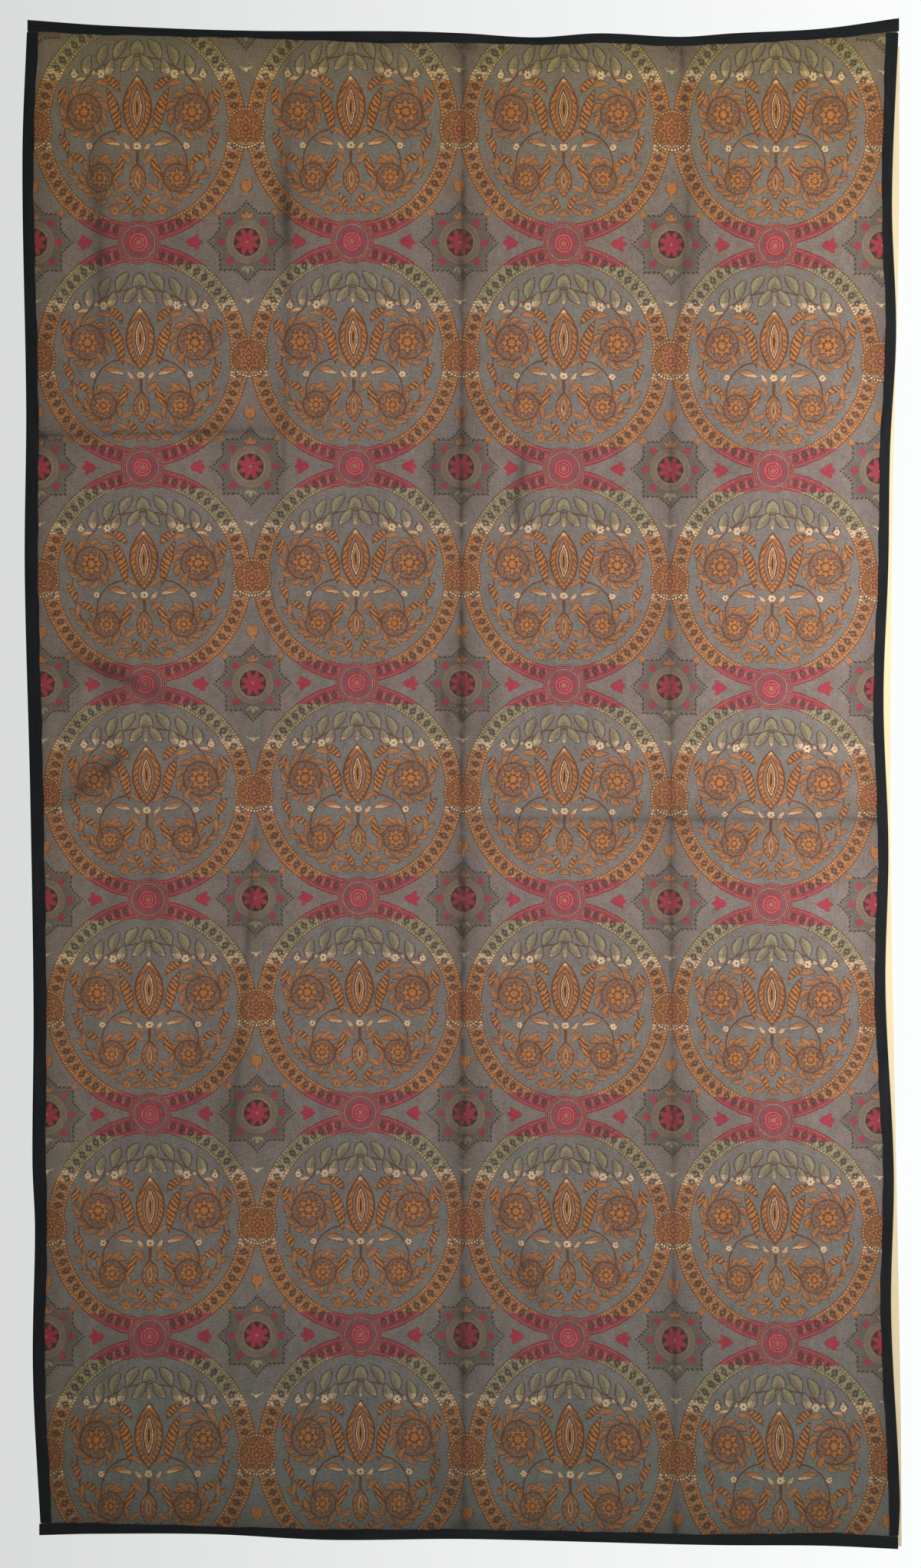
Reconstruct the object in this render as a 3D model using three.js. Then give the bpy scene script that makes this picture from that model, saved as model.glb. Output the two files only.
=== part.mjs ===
// A figured woven hanging: one width of patterned cloth, bound on all four edges with folded dark tape and
// backed with a plain cream lining. It has the shape in which it hangs, held along its top edge.
// Millimetres. +X runs to the right, +Z up, and the face looks along -Y.
// The origin is the middle of the top edge, halfway through the cloth's thickness.
import * as THREE from "three";

// Driving dimensions
const TOP_Z = 0; // nominal heights of the upper and lower edge
const BOTTOM_Z = -2315;
const CLOTH_THICKNESS = 1.4;
const TAPE_THICKNESS = 1.0;
const LINING_THICKNESS = 1.0;
const GAP = 0.3; // between neighbouring pieces
const CLOTH_TUCK = 2.0; // from the tape's outer fold to the cloth's cut edge
const LINING_TUCK = 7.0; // from the tape's outer fold to the lining's hidden edges
const RIM = 22; // width of the flat rim that the tapes grip
const CREASE_FADE = 26; // over this width the creases die out towards the rim
const DEEPEST_TROUGH = 1.2; // keeps the cloth clear of the lining

// Fineness of the solids
const CLOTH_CELL = 44;
const LINING_CELL = 58;
const TAPE_STEP = 52;
const TAPE_FOLD_STEPS = 4;

// Each edge's rows stand where the edge is held and where it sags between two fixings. They give the tape's
// outer fold, and wide, the width of tape that shows on the face.
const TOP_EDGE = [
  { x: -668.5, z: 20.4, wide: 18.0 },
  { x: -546, z: 11.6, wide: 14.7 },
  { x: -332, z: 3.9, wide: 11.8 },
  { x: -97, z: 3.0, wide: 19.0 },
  { x: 0, z: 0.0, wide: 15.0 },
  { x: 110, z: -6.4, wide: 12.0 },
  { x: 210, z: -0.2, wide: 15.5 },
  { x: 334, z: -5.5, wide: 14.5 },
  { x: 416, z: 0.0, wide: 16.2 },
  { x: 552, z: 7.1, wide: 16.2 },
  { x: 670, z: 23.3, wide: 20.5 },
];
const BOTTOM_EDGE = [
  { x: -650, z: -2306.5, wide: 18.5 },
  { x: -567, z: -2304.1, wide: 17.0 },
  { x: -389, z: -2304.5, wide: 12.7 },
  { x: -206, z: -2314.0, wide: 16.7 },
  { x: 3, z: -2312.6, wide: 15.0 },
  { x: 191, z: -2316.4, wide: 16.5 },
  { x: 389, z: -2321.5, wide: 17.0 },
  { x: 552, z: -2323.1, wide: 20.0 },
  { x: 668.5, z: -2328.5, wide: 20.0 },
];
const LEFT_EDGE = [
  { z: 20, x: -669.0, wide: 18.0 },
  { z: -195, x: -676.4, wide: 17.4 },
  { z: -574, x: -670.6, wide: 19.2 },
  { z: -825, x: -672.9, wide: 20.8 },
  { z: -1162, x: -664.6, wide: 20.6 },
  { z: -1500, x: -659.5, wide: 20.0 },
  { z: -1732, x: -661.2, wide: 20.8 },
  { z: -1835, x: -657.2, wide: 19.0 },
  { z: -2053, x: -660.1, wide: 18.9 },
  { z: -2307, x: -647.5, wide: 18.0 },
];
const RIGHT_EDGE = [
  { z: 23, x: 670.3, wide: 19.5 },
  { z: -255, x: 659.4, wide: 15.3 },
  { z: -460, x: 665.5, wide: 16.0 },
  { z: -640, x: 656.0, wide: 15.3 },
  { z: -819, x: 653.2, wide: 15.1 },
  { z: -1024, x: 646.0, wide: 15.4 },
  { z: -1253, x: 653.8, wide: 15.7 },
  { z: -1470, x: 649.3, wide: 16.4 },
  { z: -1747, x: 661.9, wide: 16.5 },
  { z: -1965, x: 657.9, wide: 15.9 },
  { z: -2248, x: 671.4, wide: 16.7 },
  { z: -2329, x: 668.3, wide: 14.1 },
];

// The lining's free right edge stands beyond the tape, and its top edge stops short of the corner.
const LINING_RIGHT_EDGE = [
  { z: -20, x: 671.4 },
  { z: -333, x: 669.7 },
  { z: -562, x: 663.8 },
  { z: -869, x: 658.5 },
  { z: -1255, x: 657.3 },
  { z: -1635, x: 663.8 },
  { z: -2095, x: 672.6 },
  { z: -2324, x: 674.4 },
];
const LINING_TOP_EDGE = [
  { x: -662, z: 6 },
  { x: -332, z: -5 },
  { x: 100, z: -13 },
  { x: 500, z: -8 },
  { x: 672, z: -20 },
];

// Storage folds. Each row is a point that the crease passes, with its rise towards the viewer, so a trough is
// below zero. half is half the crease's width.
const UPRIGHT_FOLDS = [
  {
    half: 10,
    path: [
      { z: 0, x: -266, rise: 0.8 },
      { z: -547, x: -269, rise: 1.0 },
      { z: -1049, x: -305, rise: 0.9 },
      { z: -1317, x: -325, rise: -1.0 },
      { z: -1662, x: -352, rise: -0.9 },
      { z: -1835, x: -362, rise: -0.4 },
      { z: -2310, x: -350, rise: -0.3 },
    ],
  },
  {
    half: 9,
    path: [
      { z: 0, x: 1, rise: -1.3 },
      { z: -900, x: -2, rise: -1.3 },
      { z: -1500, x: -1, rise: -1.3 },
      { z: -2310, x: 1, rise: -1.1 },
    ],
  },
  {
    half: 9,
    path: [
      { z: 0, x: 335, rise: -0.8 },
      { z: -264, x: 345, rise: -0.9 },
      { z: -609, x: 320, rise: -1.0 },
      { z: -1200, x: 320, rise: -0.9 },
      { z: -2310, x: 326, rise: -0.8 },
    ],
  },
];
const LEVEL_FOLDS = [
  {
    half: 10,
    path: [
      { x: -670, z: -619, rise: -1.0 },
      { x: -365, z: -612, rise: -1.1 },
      { x: -240, z: -611, rise: 0.0 },
      { x: 290, z: -610, rise: 0.0 },
      { x: 380, z: -609, rise: 1.0 },
      { x: 670, z: -602, rise: 0.9 },
    ],
  },
  {
    half: 9,
    path: [
      { x: -670, z: -1203, rise: 0.0 },
      { x: 0, z: -1205, rise: 0.0 },
      { x: 70, z: -1207, rise: -1.1 },
      { x: 670, z: -1207, rise: -1.0 },
    ],
  },
];

// Soft wrinkles from one point to another: the first two are the pull of the fixing in the left edge.
const WRINKLES = [
  { x0: -630, z0: -945, x1: -420, z1: -1034, half: 34, rise: 2.6 },
  { x0: -625, z0: -1195, x1: -475, z1: -1073, half: 34, rise: 2.2 },
  { x0: -574, z0: -150, x1: -552, z1: -500, half: 30, rise: -1.2 },
  { x0: 99, z0: -625, x1: 75, z1: -783, half: 26, rise: -1.2 },
  { x0: 75, z0: -1883, x1: 123, z1: -1977, half: 28, rise: -1.2 },
];

// Broad swells of the whole panel away from the wall, shared by every piece.
const SWELLS = [
  { x: 480, z: -800, wide: 250, tall: 390, rise: 8 },
  { x: -460, z: -380, wide: 260, tall: 320, rise: 5 },
  { x: 120, z: -350, wide: 250, tall: 280, rise: 4 },
  { x: -400, z: -1080, wide: 250, tall: 260, rise: 5 },
  { x: -80, z: -1520, wide: 270, tall: 340, rise: 5 },
  { x: 430, z: -1740, wide: 250, tall: 320, rise: 6 },
  { x: -470, z: -2190, wide: 260, tall: 290, rise: 7 },
  { x: 260, z: -2330, wide: 270, tall: 260, rise: 6 },
];

const FINISHES = {
  cloth: { color: 0x6f6c66, roughness: 0.85, metalness: 0 },
  tape: { color: 0x1e2127, roughness: 0.9, metalness: 0 },
  lining: { color: 0xe6cd9c, roughness: 0.95, metalness: 0 },
};

// A column of a table at a place between its rows, on a smooth curve through them. Past the ends it stays level.
function column(rows, by, name) {
  const sorted = [...rows].sort((a, b) => a[by] - b[by]);
  const last = sorted.length - 1;
  const slopes = sorted.map((_, i) => {
    const before = sorted[Math.max(i - 1, 0)];
    const after = sorted[Math.min(i + 1, last)];
    return (after[name] - before[name]) / (after[by] - before[by]);
  });
  return (at) => {
    if (at <= sorted[0][by]) return sorted[0][name];
    if (at >= sorted[last][by]) return sorted[last][name];
    const i = sorted.findIndex((row) => row[by] > at) - 1;
    const span = sorted[i + 1][by] - sorted[i][by];
    const t = (at - sorted[i][by]) / span;
    const s = 1 - t;
    return (
      sorted[i][name] * s * s * (1 + 2 * t) +
      sorted[i + 1][name] * t * t * (3 - 2 * t) +
      span * s * t * (slopes[i] * s - slopes[i + 1] * t)
    );
  };
}

const edges = {
  top: { out: column(TOP_EDGE, "x", "z"), wide: column(TOP_EDGE, "x", "wide") },
  bottom: { out: column(BOTTOM_EDGE, "x", "z"), wide: column(BOTTOM_EDGE, "x", "wide") },
  left: { out: column(LEFT_EDGE, "z", "x"), wide: column(LEFT_EDGE, "z", "wide") },
  right: { out: column(RIGHT_EDGE, "z", "x"), wide: column(RIGHT_EDGE, "z", "wide") },
};

const foldLine = (by, across) => (fold) => ({
  half: fold.half,
  place: column(fold.path, by, across),
  rise: column(fold.path, by, "rise"),
});
const uprightFolds = UPRIGHT_FOLDS.map(foldLine("z", "x"));
const levelFolds = LEVEL_FOLDS.map(foldLine("x", "z"));

// How far the whole panel stands towards the viewer at a place.
function swell(x, z) {
  return SWELLS.reduce(
    (sum, s) => sum + s.rise * Math.exp(-(((x - s.x) / s.wide) ** 2) - ((z - s.z) / s.tall) ** 2),
    0,
  );
}

// Height of a ridge with straight flanks, as a share of its full height, at a distance from its line.
const tent = (distance, half) => Math.max(0, 1 - Math.abs(distance) / half);

function wrinkleRise(x, z) {
  return WRINKLES.reduce((sum, w) => {
    const [alongX, alongZ] = [w.x1 - w.x0, w.z1 - w.z0];
    const length = Math.hypot(alongX, alongZ);
    const t = ((x - w.x0) * alongX + (z - w.z0) * alongZ) / length ** 2;
    const off = ((x - w.x0) * alongZ - (z - w.z0) * alongX) / length;
    const taper = Math.sin(Math.PI * THREE.MathUtils.clamp(t, 0, 1));
    return sum + w.rise * taper * Math.exp(-((off / w.half) ** 2));
  }, 0);
}

// Creases and wrinkles of the patterned cloth alone, dying out before the rim that the tapes grip.
function creaseRise(x, z) {
  const inside = Math.min(
    x - edges.left.out(z),
    edges.right.out(z) - x,
    edges.top.out(x) - z,
    z - edges.bottom.out(x),
  );
  const upright = uprightFolds.reduce((sum, f) => sum + f.rise(z) * tent(x - f.place(z), f.half), 0);
  const level = levelFolds.reduce((sum, f) => sum + f.rise(x) * tent(z - f.place(x), f.half), 0);
  const fade = THREE.MathUtils.smoothstep(inside, RIM, RIM + CREASE_FADE);
  return fade * Math.max(-DEEPEST_TROUGH, upright + level + wrinkleRise(x, z));
}

// Fills the stretches between neighbouring anchor lines with evenly spaced lines. The number in each stretch
// comes from the anchors' typical places, so it is the same all along them.
function linesBetween(anchors, typicalAt, cell) {
  const typical = anchors.map((anchor) => anchor(typicalAt));
  const counts = typical.slice(1).map((place, i) => {
    return Math.max(1, Math.round(Math.abs(place - typical[i]) / cell));
  });
  return (at) => {
    const places = anchors.map((anchor) => anchor(at));
    const filled = counts.flatMap((count, i) =>
      Array.from({ length: count }, (_, k) => THREE.MathUtils.lerp(places[i], places[i + 1], k / count)),
    );
    return [...filled, places[places.length - 1]];
  };
}

// A closed solid from rings of points that all have the same even length. The two halves of a ring lie
// opposite each other, so each end is capped between them.
function loft(rings) {
  const size = rings[0].length;
  const positions = rings.flat().flatMap((p) => [p.x, p.y - swell(p.x, p.z), p.z]);
  const index = [];
  const quad = (a, b, c, d) => index.push(a, b, c, a, c, d);
  for (let j = 0; j < rings.length - 1; j++) {
    for (let k = 0; k < size; k++) {
      const next = (k + 1) % size;
      quad(j * size + k, (j + 1) * size + k, (j + 1) * size + next, j * size + next);
    }
  }
  const end = (rings.length - 1) * size;
  for (let k = 0; k < size / 2 - 1; k++) {
    quad(k, k + 1, size - 2 - k, size - 1 - k);
    quad(end + k, end + size - 1 - k, end + size - 2 - k, end + k + 1);
  }
  const geometry = new THREE.BufferGeometry();
  geometry.setAttribute("position", new THREE.Float32BufferAttribute(positions, 3));
  geometry.setIndex(index);
  if (signedVolume(geometry) < 0) geometry.setIndex(index.reverse());
  geometry.computeVertexNormals();
  return geometry;
}

function signedVolume(geometry) {
  const position = geometry.getAttribute("position");
  const corner = [0, 1, 2].map(() => new THREE.Vector3());
  let sum = 0;
  for (let i = 0; i < geometry.index.count; i += 3) {
    corner.forEach((v, k) => v.fromBufferAttribute(position, geometry.index.getX(i + k)));
    sum += corner[0].dot(corner[1].clone().cross(corner[2])) / 6;
  }
  return sum;
}

// A sheet of even thickness between four edge curves. columns and rows give the places of the grid's lines
// across and down it, middle is the Y of the middle of its thickness.
function sheet(columns, rows, middle, thickness) {
  const columnCount = columns(0).length;
  const rowCount = rows(0).length;
  const node = (i, j, side) => {
    const roughX = columns(rows(0)[j])[i];
    const x = columns(rows(roughX)[j])[i];
    const z = rows(x)[j];
    return new THREE.Vector3(x, middle(x, z) + (side * thickness) / 2, z);
  };
  const rings = Array.from({ length: rowCount }, (_, j) => {
    const front = Array.from({ length: columnCount }, (_, i) => node(i, j, -1));
    const back = Array.from({ length: columnCount }, (_, i) => node(columnCount - 1 - i, j, 1));
    return [...front, ...back];
  });
  return loft(rings);
}

function clothGeometry() {
  const { left, right, top, bottom } = edges;
  const threeLines = (fold) => [-1, 0, 1].map((side) => (at) => fold.place(at) + side * fold.half);
  const columns = linesBetween(
    [
      (z) => left.out(z) + CLOTH_TUCK,
      (z) => left.out(z) + RIM,
      ...uprightFolds.flatMap(threeLines),
      (z) => right.out(z) - RIM,
      (z) => right.out(z) - CLOTH_TUCK,
    ],
    (TOP_Z + BOTTOM_Z) / 2,
    CLOTH_CELL,
  );
  const rows = linesBetween(
    [
      (x) => top.out(x) - CLOTH_TUCK,
      (x) => top.out(x) - RIM,
      ...levelFolds.flatMap((fold) => threeLines(fold).reverse()),
      (x) => bottom.out(x) + RIM,
      (x) => bottom.out(x) + CLOTH_TUCK,
    ],
    0,
    CLOTH_CELL,
  );
  return sheet(columns, rows, (x, z) => -creaseRise(x, z), CLOTH_THICKNESS);
}

function liningGeometry() {
  const behindTape = CLOTH_THICKNESS / 2 + GAP + TAPE_THICKNESS + GAP;
  const columns = linesBetween(
    [(z) => edges.left.out(z) + LINING_TUCK, column(LINING_RIGHT_EDGE, "z", "x")],
    (TOP_Z + BOTTOM_Z) / 2,
    LINING_CELL,
  );
  const rows = linesBetween(
    [column(LINING_TOP_EDGE, "x", "z"), (x) => edges.bottom.out(x) + LINING_TUCK / 2],
    0,
    LINING_CELL,
  );
  return sheet(columns, rows, () => behindTape + LINING_THICKNESS / 2, LINING_THICKNESS);
}

// The folded tape along one edge, from one end to the other. place(at, inward) gives the point that lies
// inward of the outer fold at a station. The section is a U: a front leg, a round fold and a back leg.
function tapeGeometry(edge, from, to, place) {
  const inner = CLOTH_THICKNESS / 2 + GAP;
  const outer = inner + TAPE_THICKNESS;
  const foldPoints = (radius) =>
    Array.from({ length: TAPE_FOLD_STEPS + 1 }, (_, k) => {
      const turn = (k / TAPE_FOLD_STEPS) * Math.PI;
      return { inward: outer - radius * Math.sin(turn), y: -radius * Math.cos(turn) };
    });
  const steps = Math.round(Math.abs(to - from) / TAPE_STEP);
  const rings = Array.from({ length: steps + 1 }, (_, j) => {
    const at = THREE.MathUtils.lerp(from, to, j / steps);
    const wide = edge.wide(at);
    const leg = (y) => ({ inward: wide, y });
    const section = [
      ...[leg(-outer), ...foldPoints(outer), leg(outer)],
      ...[leg(inner), ...foldPoints(inner).reverse(), leg(-inner)],
    ];
    return section.map((p) => {
      const [x, z] = place(at, edge.out(at), p.inward);
      return new THREE.Vector3(x, p.y, z);
    });
  });
  return loft(rings);
}

// The side tapes run from just under the top tape's inner edge to just over the bottom tape's.
function sideTapeGeometry(edge, inwardSign) {
  const across = (z) => [0, 0.5, 1].map((share) => edge.out(z) + inwardSign * share * edge.wide(z));
  const underTop = across(TOP_Z).map((x) => edges.top.out(x) - edges.top.wide(x));
  const overBase = across(BOTTOM_Z).map((x) => edges.bottom.out(x) + edges.bottom.wide(x));
  const place = (z, out, inward) => [out + inwardSign * inward, z];
  return tapeGeometry(edge, Math.min(...underTop) - GAP, Math.max(...overBase) + GAP, place);
}

function piece(name, geometry, finish) {
  const mesh = new THREE.Mesh(geometry, new THREE.MeshStandardMaterial(finish));
  mesh.name = name;
  return mesh;
}

const endX = (rows) => [rows[0].x, rows[rows.length - 1].x];
const overTop = tapeGeometry(edges.top, ...endX(TOP_EDGE), (x, out, inward) => [x, out - inward]);
const overBottom = tapeGeometry(edges.bottom, ...endX(BOTTOM_EDGE), (x, out, inward) => [x, out + inward]);

const hanging = new THREE.Group();
hanging.name = "woven_hanging";
hanging.add(
  piece("cloth", clothGeometry(), FINISHES.cloth),
  piece("lining", liningGeometry(), FINISHES.lining),
  piece("binding_top", overTop, FINISHES.tape),
  piece("binding_bottom", overBottom, FINISHES.tape),
  piece("binding_left", sideTapeGeometry(edges.left, 1), FINISHES.tape),
  piece("binding_right", sideTapeGeometry(edges.right, -1), FINISHES.tape),
);

export default hanging;
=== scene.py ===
"""Meshes, finishes and studio for a figured woven hanging with taped edges and a cream lining.

Tables and shader maths are in millimetres on the cloth. Meshes are in metres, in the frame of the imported
model: X to the right, Z up, the figured face towards -Y, and the origin at the middle of the top edge.
"""
import logging
import math
from dataclasses import dataclass, field
from enum import Enum
from typing import Callable, NamedTuple, Union

import bpy
import numpy as np
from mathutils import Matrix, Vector


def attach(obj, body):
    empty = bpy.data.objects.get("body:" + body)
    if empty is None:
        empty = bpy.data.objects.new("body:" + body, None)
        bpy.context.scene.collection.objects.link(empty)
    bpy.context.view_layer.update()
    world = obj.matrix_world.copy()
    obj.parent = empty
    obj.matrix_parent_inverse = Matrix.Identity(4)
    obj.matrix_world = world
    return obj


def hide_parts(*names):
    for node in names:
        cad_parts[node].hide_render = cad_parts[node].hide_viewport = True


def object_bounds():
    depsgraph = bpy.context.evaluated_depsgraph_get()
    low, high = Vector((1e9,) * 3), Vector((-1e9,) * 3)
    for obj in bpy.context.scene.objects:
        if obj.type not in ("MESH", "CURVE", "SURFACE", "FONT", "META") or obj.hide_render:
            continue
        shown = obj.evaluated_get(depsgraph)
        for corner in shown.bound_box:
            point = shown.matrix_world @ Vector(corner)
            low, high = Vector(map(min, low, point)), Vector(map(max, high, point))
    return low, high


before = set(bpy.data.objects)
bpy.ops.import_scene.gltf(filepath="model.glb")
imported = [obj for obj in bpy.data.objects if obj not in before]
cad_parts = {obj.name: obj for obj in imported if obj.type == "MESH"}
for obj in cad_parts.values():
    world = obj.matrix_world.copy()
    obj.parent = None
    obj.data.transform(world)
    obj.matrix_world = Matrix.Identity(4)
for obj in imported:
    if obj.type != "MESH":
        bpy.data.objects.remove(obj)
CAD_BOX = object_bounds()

log = logging.getLogger("hanging")

Line = Callable[[np.ndarray], np.ndarray]
Socket = bpy.types.NodeSocket

MM = 0.001
CLOTH_THICKNESS = 1.4
TAPE_THICKNESS = 1.0
LINING_THICKNESS = 1.0
GAP = 0.3
CLOTH_TUCK = 2.0
LINING_TUCK = 7.0
RIM = 22.0
CREASE_FADE = 26.0
DEEPEST_TROUGH = 1.2
NOMINAL_HEIGHT = 2315.0
SMOOTH_UNDER = math.radians(50)

REPEAT_WIDE = 325.0
REPEAT_TALL = 335.0
SIDE_DRIFT = 3.0


# Tables of the panel's shape


class EdgeRow(NamedTuple):
    """A place along an edge, the tape's outer fold there, and the width of tape that shows."""

    at: float
    out: float
    wide: float


class PlaceRow(NamedTuple):
    """A place along a line and the line's position there."""

    at: float
    out: float


class ColumnsRow(NamedTuple):
    """The places of the four columns of roundels at one height."""

    at: float
    first: float
    second: float
    third: float
    fourth: float


class SagRow(NamedTuple):
    """How much lower the drawing lies at a place across the panel, at the top and at the base."""

    at: float
    top: float
    base: float


class FoldRow(NamedTuple):
    """A point that a storage fold passes, its rise towards the viewer, and how much grime and painted shade
    darken it.
    """

    at: float
    out: float
    rise: float
    soil_and_shade: float


class Wrinkle(NamedTuple):
    """A soft wrinkle from one point to another."""

    x0: float
    z0: float
    x1: float
    z1: float
    half: float
    rise: float
    soil_and_shade: float


class Pucker(NamedTuple):
    """One size of the small uneven puckers: their width, height, rise and seed."""

    wide: float
    tall: float
    rise: float
    seed: int


class Swell(NamedTuple):
    """A broad swell of the whole panel away from the wall."""

    x: float
    z: float
    wide: float
    tall: float
    rise: float


def table(kind: Callable, *rows: tuple) -> tuple:
    """One item of a kind for each row of values."""
    return tuple(kind(*row) for row in rows)


TOP_EDGE = table(
    EdgeRow,
    (-668.5, 20.4, 18.0), (-546, 11.6, 14.7), (-332, 3.9, 11.8), (-97, 3.0, 19.0), (0, 0.0, 15.0),
    (110, -6.4, 12.0), (210, -0.2, 15.5), (334, -5.5, 14.5), (416, 0.0, 16.2), (552, 7.1, 16.2),
    (670, 23.3, 20.5),
)
BOTTOM_EDGE = table(
    EdgeRow,
    (-650, -2306.5, 18.5), (-567, -2304.1, 17.0), (-389, -2304.5, 12.7), (-206, -2314.0, 16.7),
    (3, -2312.6, 15.0), (191, -2316.4, 16.5), (389, -2321.5, 17.0), (552, -2323.1, 20.0),
    (668.5, -2328.5, 20.0),
)
LEFT_EDGE = table(
    EdgeRow,
    (20, -669.0, 18.0), (-195, -676.4, 17.4), (-574, -670.6, 19.2), (-825, -672.9, 20.8),
    (-1162, -664.6, 20.6), (-1500, -659.5, 20.0), (-1732, -661.2, 20.8), (-1835, -657.2, 19.0),
    (-2053, -660.1, 18.9), (-2307, -647.5, 18.0),
)
RIGHT_EDGE = table(
    EdgeRow,
    (23, 670.3, 19.5), (-255, 659.4, 15.3), (-460, 665.5, 16.0), (-640, 656.0, 15.3),
    (-819, 653.2, 15.1), (-1024, 646.0, 15.4), (-1253, 653.8, 15.7), (-1470, 649.3, 16.4),
    (-1747, 661.9, 16.5), (-1965, 657.9, 15.9), (-2248, 671.4, 16.7), (-2329, 668.3, 14.1),
)
LINING_RIGHT_EDGE = table(
    PlaceRow,
    (-20, 671.4), (-333, 669.7), (-562, 663.8), (-869, 658.5), (-1255, 657.3), (-1635, 663.8),
    (-2095, 672.6), (-2324, 674.4),
)
LINING_TOP_EDGE = table(
    PlaceRow,
    (-662, 6), (-332, -5), (100, -13), (500, -8), (672, -20),
)
# The last column of each fold's table is how much grime and painted shade darken it.
LEFT_QUARTER_FOLD = table(
    FoldRow,
    (0, -266, 0.8, 0.3), (-547, -269, 1.0, 0.4), (-1049, -305, 0.9, 0.2), (-1317, -325, -1.0, 0.6),
    (-1662, -352, -0.9, 0.5), (-1835, -362, -0.4, 0.2), (-2310, -350, -0.3, 0.2),
)
CENTRE_FOLD = table(
    FoldRow,
    (0, 1, -1.3, 0.8), (-900, -2, -1.3, 1.0), (-1500, -1, -1.3, 1.0), (-2310, 1, -1.1, 0.8),
)
RIGHT_QUARTER_FOLD = table(
    FoldRow,
    (0, 335, -0.8, 0.5), (-264, 345, -0.9, 0.5), (-609, 320, -1.0, 0.6), (-1200, 320, -0.9, 0.7),
    (-2310, 326, -0.8, 0.6),
)
UPPER_LEVEL_FOLD = table(
    FoldRow,
    (-670, -619, -1.0, 0.6), (-365, -612, -1.1, 0.6), (-240, -611, 0.0, 0.1), (290, -610, 0.0, 0.0),
    (380, -609, 1.0, 0.0), (670, -602, 0.9, 0.0),
)
LOWER_LEVEL_FOLD = table(
    FoldRow,
    (-670, -1203, 0.0, 0.0), (0, -1205, 0.0, 0.0), (70, -1207, -1.1, 0.5), (670, -1207, -1.0, 0.5),
)
# The last column of each wrinkle is how much grime and painted shade darken it.
WRINKLES = table(
    Wrinkle,
    (-630, -945, -420, -1034, 30, 2.6, 0.9), (-635, -1200, -475, -1073, 22, 1.9, 0.8),
    (-566, -100, -552, -520, 26, -1.2, 0.9), (-275, -150, -272, -380, 18, -1.0, 0.7),
    (99, -610, 75, -790, 22, -1.2, 0.9), (-42, -600, -50, -745, 18, -0.9, 0.6),
    (62, -985, 12, -1110, 20, -1.0, 0.5), (-40, -980, -14, -1100, 18, -0.9, 0.5),
    (64, -60, 50, -260, 18, -0.8, 0.3), (75, -1840, 130, -1977, 24, -1.2, 0.6),
    (-44, -2140, -38, -2270, 16, -0.9, 0.4),
)
PUCKERS = (Pucker(34, 150, 0.75, 3), Pucker(20, 62, 0.35, 5))
SWELLS = table(
    Swell,
    (480, -800, 250, 390, 8), (-460, -380, 260, 320, 5), (120, -350, 250, 280, 4),
    (-400, -1080, 250, 260, 5), (-80, -1520, 270, 340, 5), (430, -1740, 250, 320, 6),
    (-470, -2190, 260, 290, 7), (260, -2330, 270, 260, 6),
)

# The drawing's lattice: where its four columns of roundels stand at each height, where the joins between
# roundels lie down the third column, and how much lower they lie along each row at the top and at the base.
DRAWING_COLUMNS = table(
    ColumnsRow,
    (-170, -500, -172, 155, 481), (-656, -492, -166, 155, 476), (-1187, -485, -161, 156, 473),
    (-1717, -480, -157, 159, 477), (-2210, -482, -157, 165, 488),
)
JOIN_HEIGHTS = table(
    PlaceRow,
    (0, 35), (1, -324), (2, -669), (3, -1002), (4, -1332), (5, -1662), (6, -2003), (7, -2364),
)
ROW_SAG = (SagRow(-490, -2, -1), SagRow(-160, -3.5, -4.5), SagRow(155, 0, 0), SagRow(480, 1.5, 10))


class Profile:
    """A smooth curve through the rows of a short table, level past its ends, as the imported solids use."""

    def __init__(self, rows: tuple, column: str = "out") -> None:
        """Fits the curve to one column of a table.

        Args:
            rows: a table whose rows have a column named at.
            column: the column to follow.
        """
        order = np.argsort([row.at for row in rows])
        self.at = np.array([row.at for row in rows], float)[order]
        self.value = np.array([getattr(row, column) for row in rows], float)[order]
        last = len(self.at) - 1
        low, high = np.maximum(np.arange(last + 1) - 1, 0), np.minimum(np.arange(last + 1) + 1, last)
        self.slope = (self.value[high] - self.value[low]) / (self.at[high] - self.at[low])

    def __call__(self, where: np.ndarray) -> np.ndarray:
        """Follows the curve.

        Args:
            where: places along the table.

        Returns:
            The curve's value at each.
        """
        held = np.clip(where, self.at[0], self.at[-1])
        row = np.clip(np.searchsorted(self.at, held, side="right") - 1, 0, len(self.at) - 2)
        span = self.at[row + 1] - self.at[row]
        t = (held - self.at[row]) / span
        s = 1 - t
        ends = self.value[row] * s * s * (1 + 2 * t) + self.value[row + 1] * t * t * (3 - 2 * t)
        return ends + span * s * t * (self.slope[row] * s - self.slope[row + 1] * t)


class Edge:
    """One bound edge of the panel: where its outer fold lies and how wide its tape shows."""

    def __init__(self, rows: tuple[EdgeRow, ...]) -> None:
        """Fits both curves to the edge's table."""
        self.out, self.wide = Profile(rows), Profile(rows, "wide")
        self.start, self.end = rows[0].at, rows[-1].at


class Across(Enum):
    """Which way a fold or an edge runs."""

    UPRIGHT = "upright"
    LEVEL = "level"


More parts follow.
